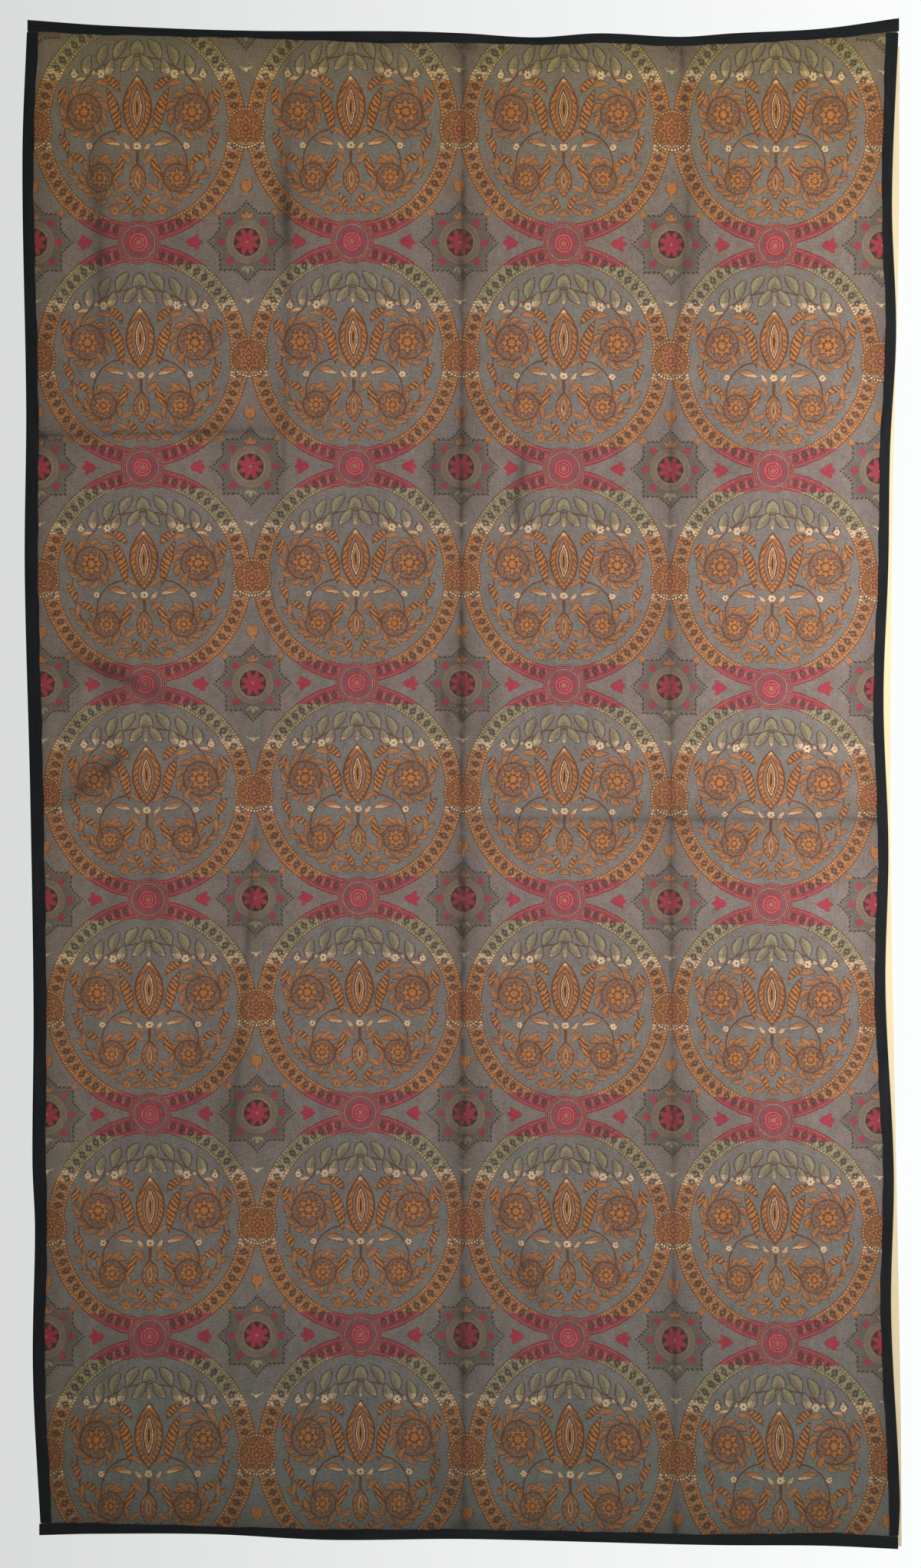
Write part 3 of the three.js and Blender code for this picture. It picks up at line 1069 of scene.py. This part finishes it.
@dataclass(frozen=True)
class SilkDyes:
    """The colours of the cloth's warps and wefts, as they look in even light."""

    ground_inside: str = "797674"
    ground_outside: str = "7f7673"
    shade: str = "5c504c"
    slate: str = "4d4140"
    mauve: str = "7d6866"
    teal: str = "6d7b7c"
    brown: str = "6b4836"
    dark: str = "443934"
    orange: str = "b1774a"
    cream: str = "d6bd9d"
    olive: str = "8f9276"
    red: str = "9f3c4b"
    maroon: str = "7d4147"
    plum: str = "78555a"
    rose: str = "a97368"
    blush: str = "93705e"
    # The dark colour that grime and painted shade lean towards.
    soot_and_shade: str = "362c28"
    taupe: str = "7b6b5f"
    drab: str = "867767"


class FiguredSilk:
    """The figured cloth's finish: the drawing, its weft colours in bands, thread texture, grime with painted
    shade, a yellow tint and painted shade towards its base.

    Its draw_ methods take the colour so far, and the place from the middle of what they draw, and return
    the colour with their drawing laid over it.
    """

    WANDERS = ((0.09, 2.2), (0.5, 2.4))
    WEFT_BANDS = (
        (-168, "red"), (-134, "orange"), (-33, "cream"), (-24, "orange"), (65, "cream"), (82, "olive"),
        (134, "red"),
    )
    RED_REACH = 134.0
    RING_OUT, RING_IN, BAND_HALF = 164.0, 136.5, 8.2
    PEARL_ROWS = ((139.7, 180), (160.4, 208))
    PEARL = 1.7
    MOTIFS_ROUND = 66
    STAR = 41.5
    BUD_RINGS = (
        (0.0, "dark"), (0.07, "orange"), (0.18, "brown"), (0.23, "cream"), (0.28, "brown"), (0.38, "blush"),
        (0.52, "brown"), (0.60, "blush"), (0.86, "brown"),
    )
    STAR_RINGS = (
        (0, "dark"), (20.0, "taupe"), (21.2, "drab"), (23.0, "taupe"), (30.4, "drab"), (31.6, "shade"),
    )
    JOIN_RINGS = (
        (0, "rose"), (2.2, "red"), (3.2, "rose"), (4.2, "red"), (6.9, "rose"), (8.2, "red"), (11.6, "rose"),
        (13.2, "plum"), (24.2, "rose"), (25.6, "maroon"), (27.6, "rose"), (28.6, "maroon"), (30.6, "blush"),
        (31.8, "maroon"),
    )
    YELLOWING, DUSK = (0.98, 0.94, 0.62, 1.0), (0.62, 0.68, 0.62, 1.0)

    def __init__(self, dyes: SilkDyes) -> None:
        """Starts the finish with its colours, its place on the cloth and its pattern weft."""
        self.dyes = {name: dye(code) for name, code in vars(dyes).items()}
        self.finish = Finish("figured_silk")
        self.drawing = self.finish.place("drawing")
        self.u, self.v = self.unsteady()
        self.from_join = self.v.calc("WRAP", REPEAT_TALL / 2, -REPEAT_TALL / 2)
        self.from_middle = (self.v + REPEAT_TALL / 2).calc("WRAP", REPEAT_TALL / 2, -REPEAT_TALL / 2)
        self.weft = self.weft_bands()

    def mix(self, share: Number, a: object, b: object) -> Socket:
        """Colour a with a share of colour b, each a socket or the name of a dye."""
        return self.finish.mix(share, *(self.dyes[c] if isinstance(c, str) else c for c in (a, b)))

    def paint(self, colour: Socket, *layers: tuple[Number, object]) -> Socket:
        """Lays colours over one another.

        Args:
            colour: what is there so far.
            layers: the share and the colour of each layer in turn.

        Returns:
            The colour of them all.
        """
        for share, over in layers:
            colour = self.mix(share, colour, over)
        return colour

    def outlined(self, colour: Socket, shape: Field, fill: object, line: str, inner: float) -> Socket:
        """Lays outlined motifs over a colour.

        Args:
            colour: what is there so far.
            shape: under 1 inside the motifs.
            fill: the motifs' colour.
            line: the dye of their outline.
            inner: where the outline gives way to the fill.

        Returns:
            The colour with the motifs laid over it.
        """
        return self.paint(colour, (shape.under(1.0), line), (shape.under(inner), fill))

    def rings(self, radius: Field, stops: tuple, reach: float = 1.0) -> Socket:
        """Rings of dyes out to a reach, each from its own radius to the next."""
        return self.finish.ramp(radius * (1 / reach), [(at / reach, self.dyes[name]) for at, name in stops])

    def pearls(self, radius: Field, angle: Field, row: float, count: int) -> Field:
        """1 inside each of a number of pearls in a row round a circle."""
        along, away = angle.folded(2 * math.pi / count) * row, radius - row
        return (along * along + away * away).under(self.PEARL**2)

    def make(self) -> bpy.types.Material:
        """Draws the cloth from its ground up, and gives its finished material."""
        across, red_zone = self.u.folded(REPEAT_WIDE), abs(self.from_middle).over(self.RED_REACH)
        from_side = REPEAT_WIDE / 2 - across
        roundel = Spot(across, self.from_middle)
        radius, angle = self.ring_place(roundel)
        colour = self.mix(radius.under(self.RING_IN), "ground_outside", "ground_inside")
        # Painted shade towards the base: the ground turns cooler teal.
        colour = self.flecked(self.mix(self.finish.number("base_shade") * 0.8, colour, "teal"))
        colour = self.draw_bouquet(colour, roundel, radius)
        colour = self.draw_spandrels(colour, Spot(from_side, self.from_join))
        colour = self.draw_ring(colour, radius, angle, red_zone)
        colour = self.draw_side_rosette(colour, Spot(from_side, self.from_middle))
        colour = self.draw_join(colour, Spot(across, self.from_join))
        self.dress(colour)
        return self.finish.material

    def unsteady(self) -> tuple[Field, Field]:
        """The place across and up the drawing, a little uneven, as threads that were never quite straight."""
        f, place = self.finish, self.drawing
        for scale, reach in self.WANDERS:
            near = f.scaled(self.drawing, (scale, 1.3 * scale, scale))
            wander = f.add("ShaderNodeTexNoise", {"Vector": near, "Scale": 1.0, "Detail": 1.0})
            inputs = {0: wander.outputs["Color"], 1: (reach, reach, 0.0), 2: place}
            place = f.add("ShaderNodeVectorMath", inputs, operation="MULTIPLY_ADD").outputs[0]
        middle = sum(reach for _, reach in self.WANDERS) / 2
        back = f.add("ShaderNodeVectorMath", {0: place, 1: (middle, middle, 0.0)}, operation="SUBTRACT")
        parts = f.add("ShaderNodeSeparateXYZ", {0: back.outputs[0]})
        return Field(parts.outputs[0]), Field(parts.outputs[1])

    def weft_bands(self) -> Socket:
        """The pattern weft's colour, which changes in level bands and is uneven as worn silk is."""
        stops = [(max(0.0, at / REPEAT_TALL + 0.5), self.dyes[name]) for at, name in self.WEFT_BANDS]
        clean = self.finish.ramp(self.from_middle.calc("MULTIPLY_ADD", 1 / REPEAT_TALL, 0.5), stops)
        dashes = self.finish.noise(self.drawing, (0.2, 0.55, 9.0))
        return self.mix(dashes.ramped(0.46, 4.0, 0.6), clean, self.mix(0.5, "brown", clean))

    def ring_place(self, roundel: Spot) -> tuple[Field, Field]:
        """The distance from the roundel's middle, with the slightly tall ring made round, and the angle."""
        x = roundel.x * (self.RING_OUT / (REPEAT_WIDE / 2))
        y = roundel.y * (self.RING_OUT / (REPEAT_TALL / 2))
        return (y * y + x * x).calc("SQRT"), y.calc("ARCTAN2", x)

    def flecked(self, colour: Socket) -> Socket:
        """The plain ground with its cool and warm mottling, and short flecks of the hidden wefts."""
        f = self.finish
        patches = f.noise(self.drawing, (0.11, 0.17, 14.0))
        short = f.noise(self.drawing, (0.16, 0.6, 0.0), 2.0, 0.7)
        dark = f.noise(self.drawing, (0.3, 0.55, 3.0), 2.0, 0.7)
        return self.paint(
            colour,
            (patches.ramped(0.5, 4.0, 0.65), "mauve"),
            (patches.ramped(0.48, -4.5, 0.7), "teal"),
            (short.ramped(0.53, 6.0, 0.5), "blush"),
            (dark.ramped(0.54, 6.0, 0.55), "shade"),
        )

    def draw_bouquet(self, colour: Socket, spot: Spot, radius: Field) -> Socket:
        """The inside of a roundel: garlands over two tall palmettes, with leafy wheels at their sides."""
        stems = (
            Tendril(82, 20, 26, 1.3),
            Tendril(59, -74, 20, 1.2),
            Tendril(0, -12, 112, 1.2, side=90, reach=70),
            Tendril(28, -52, 46, 1.3, side=70, reach=20),
            Leaf(0, -40, 90, 46, 5),
        )
        hatched = table(
            Leaf,
            (34, 22, 74, 74, 17, 0.5), (36, 62, 40, 34, 13, 0.5), (118, 44, 112, 30, 12, -0.4),
            (28, -60, 112, 42, 13, 0.5), (112, -24, 65, 34, 12, 0.4), (90, -46, 30, 30, 11, 0.4),
            (12, -108, 62, 30, 10, 0.4),
        )
        plain = table(
            Leaf,
            (0, 86, 90, 20, 9), (56, 62, 10, 26, 9, 0.4), (90, 66, 160, 24, 8, -0.4),
            (40, -22, 14, 34, 11, 0.5), (14, -32, 60, 24, 8, 0.4), (17, -46, 40, 26, 9, 0.4),
            (22, -88, 150, 26, 9, -0.4), (28, -106, 24, 28, 8, -0.4), (104, -52, 95, 26, 8, 0.4),
            (52, -46, 150, 24, 8, 0.4), (62, -2, 60, 22, 8, 0.4), (18, -8, 35, 26, 8, 0.4),
        )
        flowers = (
            Blossom(82, 20, 8, 20.5, 0.34, tips=Petal.POINTED),
            Blossom(59, -74, 8, 16, 0.34, tips=Petal.POINTED),
            Blossom(56, 74.5, 6, 8.0, 0.35),
            Blossom(98, 73.5, 6, 6.5, 0.35),
            Blossom(0, -28.5, 8, 8.0, 0.35),
            Blossom(74, -28.5, 6, 6.5, 0.4),
            Blossom(36, -122, 6, 8, 0.6),
        )
        hearts = table(Blossom, (82, 20, 8, 10, 0.35, 22.5), (59, -74, 8, 7, 0.35, 22.5))
        wreaths = table(
            Wreath,
            (82, 20, 27, 11, 19, 10.5, 40, 0.3), (59, -74, 21, 9, 17, 9.5, 40, 0.3),
            (0, -12, 113, 28, 36, 17, 47, 0.3, 74, "shade"), (0, -12, 91, 22, 32, 16, 47, -0.3, 74, "shade"),
            (0, 0, 116, 40, 21, 9, 38, 0.3, -46),
        )
        outside = 2.0 - radius.under(self.RING_IN) * 2.0
        soft = self.mix(0.3, self.weft, "blush")
        discs = spot.far_from(82, 20).under(26).most(spot.far_from(59, -74).under(20))
        stalks = together(stems, spot).most(outside)
        colour = self.paint(colour, (discs * 0.8, self.mottled()), (stalks.under(1.0), "brown"))
        for wreath in wreaths:
            shape, dim = wreath.halves(spot)
            lit = self.mix(dim * 0.4, soft, wreath.line)
            colour = self.outlined(colour, shape.most(outside), lit, wreath.line, 0.76)
        colour = self.outlined(colour, together(hatched, spot), self.hatching(spot), "brown", 0.8)
        colour = self.outlined(colour, together(plain, spot), soft, "brown", 0.8)
        blooms = together(flowers, spot)
        colour = self.outlined(colour, blooms, self.weft, "brown", 0.84)
        colour = self.mix(blooms.under(0.2), colour, "dark")
        colour = self.outlined(colour, together(hearts, spot), self.weft, "brown", 0.62)
        for bud in table(Leaf, (0, 26, 90, 96, 46), (0, -76, 90, 50, 26)):
            colour = self.draw_palmette(colour, spot, bud)
        return colour

    def mottled(self) -> Socket:
        """The close brown and orange filling behind the larger flowers."""
        spots = self.finish.noise(self.drawing, (0.3, 0.42, 11.0))
        return self.mix(spots.ramped(0.42, 5.0), "brown", "blush")

    def hatching(self, spot: Spot) -> Socket:
        """The filling of the larger leaves: orange threads lined with brown."""
        f = self.finish
        place = f.scaled(spot.socket, (0.07, 0.07, 0.0))
        inputs = {"Vector": place, "Scale": 1.0, "Distortion": 4.0, "Detail": 2.0}
        wave = f.add("ShaderNodeTexWave", inputs, wave_type="BANDS", bands_direction="DIAGONAL")
        return self.mix(Field(wave.outputs["Fac"]).over(0.42), "brown", "orange")

    def draw_palmette(self, colour: Socket, spot: Spot, bud: Leaf) -> Socket:
        """A tall pointed palmette on the roundel's middle line, in nested outlines."""
        shape = bud.draw(spot)
        notches = (spot.y + spot.x * 1.1).folded(9.0).under(1.5) * shape.near(0.75, 0.11)
        nested = self.rings(shape, self.BUD_RINGS)
        nested = self.paint(nested, (shape.near(0.73, 0.13), self.weft), (notches, "brown"))
        return self.mix(shape.under(1.0), colour, nested)

    def draw_ring(self, colour: Socket, radius: Field, angle: Field, red_zone: Field) -> Socket:
        """The roundel's frame: two rows of pearls, and between them a band of small four-lobed flowers.

        Args:
            colour: what is there so far.
            radius: the distance from the roundel's middle.
            angle: the angle round it.
            red_zone: 1 where the weft is red, whose rims have plain lines for pearls.

        Returns:
            The colour with the frame laid over it.
        """
        middle, half = (self.RING_OUT + self.RING_IN) / 2, (self.RING_OUT - self.RING_IN) / 2
        rim = self.mix(red_zone, "brown", "maroon")
        specks = self.finish.noise(self.drawing, (0.2, 0.3, 7.0), 2.0, 0.65)
        fill = self.mix(specks.ramped(0.5, 9.0, 0.8), self.weft, rim)
        fill = self.mix(specks.ramped(0.44, -9.0, 0.5), fill, "drab")
        band = radius.near(middle, self.BAND_HALF)
        step = 2 * math.pi / self.MOTIFS_ROUND
        place = Spot(angle.folded(step) * middle, radius - (middle - 0.8))
        flower = Blossom(0, 0, 4, 7.4, 0.5).draw(place)
        between = Leaf(step * middle / 2, 0, 90, 14, 5.5).draw(place)
        colour = self.paint(
            colour,
            (radius.near(middle, half), self.mix(0.8, self.weft, rim)),
            (band, fill),
            ((flower + specks * 2.6).under(2.2) * band * 0.9, "slate"),
            (flower.under(0.24), fill),
            ((between + specks).under(1.3) * band * 0.6, self.mix(0.25, self.weft, "cream")),
        )
        bead, line = self.mix(0.2, self.weft, "cream"), self.mix(0.5, self.weft, "rose")
        for row, count in self.PEARL_ROWS:
            beads = self.pearls(radius, angle, row, count) * (1.0 - red_zone)
            colour = self.paint(colour, (beads, bead), (radius.near(row, 0.8) * red_zone, line))
        return colour

    def draw_side_rosette(self, colour: Socket, spot: Spot) -> Socket:
        """The rosette where two roundels stand side by side, in its own circle of pearls."""
        drop = 3.5
        radius, angle = spot.far_from(0.0, -drop), (spot.y + drop).calc("ARCTAN2", spot.x)
        star = Blossom(0, -drop, 8, 24.5, 0.36, tips=Petal.POINTED).draw(spot)
        inner = Blossom(0, -drop, 8, 15.0, 0.34, tips=Petal.POINTED).draw(spot)
        colour = self.paint(
            colour,
            (radius.under(30.5), "brown"),
            (radius.under(25.0), self.mix(0.42, "brown", self.weft)),
            (self.pearls(radius, angle, 27.8, 36), self.mix(0.2, self.weft, "cream")),
        )
        colour = self.outlined(colour, star, self.mix(0.25, self.weft, "maroon"), "brown", 0.87)
        return self.paint(colour, (inner.near(0.87, 0.12), "brown"), (radius.near(4.4, 1.4), "maroon"))

    def draw_join(self, colour: Socket, spot: Spot) -> Socket:
        """The medallion where one roundel stands on the next: fine rings round a red flower."""
        radius, reach = spot.far_from(0.0, 0.0), 33.0
        petals = Blossom(0, 0, 8, 22.5, 0.34, tips=Petal.POINTED).draw(spot)
        disc = self.rings(radius, self.JOIN_RINGS, reach)
        disc = self.mix(petals.under(1.0) * radius.over(13.0), disc, "red")
        return self.mix(radius.under(reach), colour, disc)

    def draw_spandrels(self, colour: Socket, spot: Spot) -> Socket:
        """The ground between roundels: a dotted star round a red flower, trefoils, tulips and florets."""
        up = abs(spot.y)
        star = spot.x.most(up).least((spot.x + up) * (1 / math.sqrt(2)))
        radius, reach = spot.far_from(0.0, 0.0), 32.4
        halo = (2.0 - radius * (1 / 30.0) + up * 0.008).most(0.0).least(0.4)
        dots = star.near(self.STAR, 1.7) * (spot.x - up).folded(7.4).under(2.0)
        flower = Blossom(0, 0, 8, 19.4, 0.52, 22.5).draw(spot)
        red_parts = (
            *table(Blossom, (38.5, 0, 4, 5.4, 0.12), (26.5, 28, 4, 5.4, 0.12), (26.5, -28, 4, 5.4, 0.12)),
            *table(Leaf, (82, 0, 0, 20, 14), (77, 6, 128, 14, 8), (77, -6, -128, 14, 8), (72, 0, 0, 10, 8)),
        )
        sprigs = (
            *table(Blossom, (0, 80.5, 4, 9.3, 0.05), (43, 43, 5, 6.0, 0.45)),
            *table(Leaf, (0, 38.5, 90, 13, 7), (5, 37, 40, 12, 5), (0, -41.5, 90, 13, 8)),
            *table(Leaf, (6, -39, -40, 12, 5), (4, 85, 74, 14, 9), (0, 70, 90, 11, 4)),
            *table(Leaf, (0, -87, 90, 9, 7), (7, -84, 25, 12, 4.5)),
        )
        colour = self.paint(
            colour,
            (halo * star.under(self.STAR), "dark"),
            (star.near(self.STAR - 3.2, 0.8) * 0.7, "taupe"),
            (dots * 0.85, "dark"),
            (radius.under(reach), self.rings(radius, self.STAR_RINGS, reach)),
            (flower.under(1.0), "red"),
            (flower.under(0.12), "rose"),
        )
        colour = self.outlined(colour, together(red_parts, spot), "red", "maroon", 0.86)
        return self.outlined(colour, together(sprigs, spot), self.weft, "brown", 0.86)

    def dress(self, colour: Socket) -> None:
        """Adds thread streaks, a yellow tint, painted shade towards the base, grime with painted shade, and
        relief, and sets the shader.
        """
        f, place = self.finish, self.drawing
        streaks, slubs = f.noise(place, (0.09, 0.8, 0.0)), f.noise(place, (0.7, 0.05, 1.0))
        grain = f.noise(place, (0.42, 0.42, 2.0), 2.0, 0.75)
        wear = f.noise(place, (0.05, 0.035, 4.0), 2.0)
        cloud = f.noise(place, (0.005, 0.005, 3.0), 3.0)
        light = streaks * 0.6 + slubs * 0.45 + grain * 0.9 + wear * 0.55 + cloud * 0.45 - 0.4
        colour = f.mix(1.0, colour, light, "MULTIPLY")
        # A yellow tint along the top and left side, then painted shade that darkens and cools the base.
        for name, tint in (("age", self.YELLOWING), ("base_shade", self.DUSK)):
            colour = f.mix(f.number(name), colour, f.mix(1.0, colour, tint, "MULTIPLY"))
        # Grime and painted shade along the folds, wrinkles and rim darken the colour.
        grime_and_shade = f.number("soil_and_shade") * (wear * 2.2 - 0.3).most(0.15).least(1.0) * 0.9
        f.settle(self.mix(grime_and_shade, colour, "soot_and_shade"), 0.82, 0.22, 0.08)
        f.relief(f.noise(place, (0.16, 0.95, 0.0)), 0.0008, 0.6)
        log.info("figured silk has %d nodes", len(f.tree.nodes))


@dataclass(frozen=True)
class TapeCotton:
    """The dark tape: close-woven navy-black cotton, a little dusty and faded."""

    colour: str = "14171c"
    faded: str = "1e2227"
    dust: str = "57544e"

    def make(self) -> bpy.types.Material:
        """The finished material."""
        f = Finish("tape_cotton")
        place = f.place("tape")
        cloud, lint = f.noise(place, (0.012, 0.05, 1.0), 4.0), f.noise(place, (0.5, 0.9, 1.0), 2.0, 0.7)
        colour = f.mix(cloud.ramped(0.35, 2.2), dye(self.colour), dye(self.faded))
        f.settle(f.mix(lint.ramped(0.64, 4.0, 0.4), colour, dye(self.dust)), 0.9, 0.2, 0.1)
        f.relief(f.noise(place, (0.8, 0.8, 1.0), 2.0), 0.0006, 0.7)
        return f.material


@dataclass(frozen=True)
class LiningCotton:
    """The plain cream lining, a little yellowed."""

    colour: str = "efe4c6"
    aged: str = "d8c69a"

    def make(self) -> bpy.types.Material:
        """The finished material."""
        f = Finish("lining_cotton")
        place = f.place("cloth")
        cloud, threads = f.noise(place, (0.004, 0.004, 1.0), 5.0), f.noise(place, (0.12, 1.1, 1.0), 2.0)
        share = cloud * 0.8 + threads * 0.6 - 0.25
        f.settle(f.mix(share, dye(self.colour), dye(self.aged)), 0.95, 0.2)
        f.relief(f.noise(place, (0.7, 0.7, 1.0), 2.0), 0.0005, 0.5)
        return f.material


@dataclass(frozen=True)
class FloorPaper:
    """The studio's pale floor."""

    colour: str = "dcdedd"

    def make(self) -> bpy.types.Material:
        """The finished material."""
        f = Finish("floor_paper")
        f.settle(dye(self.colour), 0.8)
        return f.material


# Studio


@dataclass
class Studio:
    """The camera at the photograph's viewing angle, a soft window light from the right, and a pale floor."""

    mm_per_pixel: float = 1.179
    centre_x: float = -3.5
    centre_z: float = -1153.3
    frame_tall: int = 2043
    distance: float = 5.2
    floor_size: float = 7.0
    floor_drop: float = 0.9
    window_at: tuple[float, float, float] = (1.42, -1.42, -0.92)
    window_aim: tuple[float, float, float] = (-0.15, 0.0, -1.05)
    window_size: tuple[float, float] = (1.0, 1.5)
    window_power: float = 42.0
    warmth: tuple[float, float, float] = (1.0, 0.94, 0.86)
    ambient: float = 0.3
    backdrop: tuple[float, float, float, float] = (0.985, 1.0, 0.995, 1.0)
    # How bright the wall is at the left, under its painted shade.
    backdrop_shaded_left: float = 0.70
    backdrop_right: float = 1.0
    backdrop_edge: float = 0.14

    def place_camera(self) -> None:
        """Sets the camera square to the panel, so that it fills the frame as in the photograph."""
        data = bpy.data.cameras.new("camera")
        camera = bpy.data.objects.new("camera", data)
        bpy.context.scene.collection.objects.link(camera)
        tall = self.frame_tall * self.mm_per_pixel * MM
        data.lens = data.sensor_width * self.distance / tall
        camera.location = (self.centre_x * MM, -self.distance, self.centre_z * MM)
        camera.rotation_euler = (math.radians(90), 0, 0)
        bpy.context.scene.camera = camera

    def lay_floor(self, lowest: float) -> None:
        """Lays the floor below the object's lowest point."""
        place = (0, 0, lowest - self.floor_drop)
        floor = new_grid(2, 2, size=self.floor_size, location=place)
        floor.name = floor.data.name = "studio_floor"
        floor.data.materials.append(FloorPaper().make())

    def hang_window(self) -> None:
        """Adds the soft rectangular light of the window."""
        data = bpy.data.lights.new("window", "AREA")
        data.shape, data.energy, data.color = "RECTANGLE", self.window_power, self.warmth
        data.size, data.size_y = self.window_size
        lamp = bpy.data.objects.new("window", data)
        bpy.context.scene.collection.objects.link(lamp)
        lamp.location = self.window_at
        aim = Vector(self.window_aim) - Vector(self.window_at)
        lamp.rotation_euler = aim.to_track_quat("-Z", "Y").to_euler()

    def light_room(self) -> None:
        """Adds the even light of the room, and the wall behind as the camera sees it, with painted shade
        darkening its left side.
        """
        world = bpy.data.worlds.new("room")
        bpy.context.scene.world = world
        world.use_nodes = True
        nodes = world.node_tree.nodes
        seen, ray = nodes.new("ShaderNodeLightPath"), nodes.new("ShaderNodeTexCoord")
        sides = nodes.new("ShaderNodeSeparateXYZ")
        feed(sides.inputs[0], ray.outputs["Generated"])
        # Painted shade on the wall: darker towards the left of the frame.
        to_right = Field(sides.outputs[0]).calc("MULTIPLY_ADD", 0.5 / self.backdrop_edge, 0.5)
        share = to_right.most(0.0).least(1.0)
        wall = share * (self.backdrop_right - self.backdrop_shaded_left) + self.backdrop_shaded_left
        strength = (wall - self.ambient) * Field(seen.outputs["Is Camera Ray"]) + self.ambient
        feed(nodes["Background"].inputs["Strength"], strength)
        feed(nodes["Background"].inputs["Color"], self.backdrop)
        bpy.context.scene.view_settings.view_transform = "Standard"


# Assembly


@dataclass
class Hanging:
    """The whole hanging: its cloth, four tapes and lining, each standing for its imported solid."""

    shape: HangingShape = field(default_factory=HangingShape)

    def side_span(self, edge: Edge, inward: float) -> tuple[float, float]:
        """Where a side tape meets the top and the bottom tape, with a small gap at each."""
        top, bottom = self.shape.top, self.shape.bottom
        zero, base = np.array([0.0]), np.array([-NOMINAL_HEIGHT])
        upper, lower = [], []
        for share in (0.0, 0.5, 1.0):
            x = edge.out(zero) + inward * share * edge.wide(zero)
            upper.append(float((top.out(x) - top.wide(x))[0]))
            x = edge.out(base) + inward * share * edge.wide(base)
            lower.append(float((bottom.out(x) + bottom.wide(x))[0]))
        return min(upper) - 2 * GAP, max(lower) + 2 * GAP

    def tapes(self) -> list[EdgeTape]:
        """The four tapes. The side ones run between the top and the bottom one."""
        s, level, upright = self.shape, Across.LEVEL, Across.UPRIGHT
        return [
            EdgeTape("tape_top", s.top, s, level, -1, s.top.start, s.top.end, seed=1),
            EdgeTape("tape_bottom", s.bottom, s, level, 1, s.bottom.start, s.bottom.end, seed=2),
            EdgeTape("tape_left", s.left, s, upright, 1, *self.side_span(s.left, 1), seed=3),
            EdgeTape("tape_right", s.right, s, upright, -1, *self.side_span(s.right, -1), seed=4),
        ]

    def build(self) -> None:
        """Builds every piece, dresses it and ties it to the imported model."""
        cloth = FiguredPanel(self.shape).build()
        cloth.data.materials.append(FiguredSilk(SilkDyes()).make())
        self.tie(cloth, "cloth")
        self.build_tapes()
        lining = BackLining(self.shape).build()
        lining.data.materials.append(LiningCotton().make())
        self.tie(lining, "lining")

    def build_tapes(self) -> None:
        """Builds and dresses the tapes."""
        cotton = TapeCotton().make()
        for tape in self.tapes():
            obj = tape.build()
            obj.data.materials.append(cotton)
            self.tie(obj, tape.name.replace("tape", "binding"))
            length = abs(tape.end - tape.start) * MM
            girth = 2 * float(np.mean(tape.edge.wide(np.linspace(tape.start, tape.end, 50)))) * MM

    def tie(self, obj: bpy.types.Object, node: str) -> None:
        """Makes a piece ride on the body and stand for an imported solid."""
        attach(obj, "root")
        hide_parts(node)
        log.info("%s stands for %s, %d faces", obj.name, node, len(obj.data.polygons))


def main() -> None:
    """Builds the scene: the camera first, then the hanging, then the floor and lights."""
    logging.basicConfig(level=logging.INFO, format="%(message)s")
    studio = Studio()
    studio.place_camera()
    Hanging().build()
    studio.lay_floor(CAD_BOX[0].z)
    studio.hang_window()
    studio.light_room()


if __name__ == "__main__":
    main()
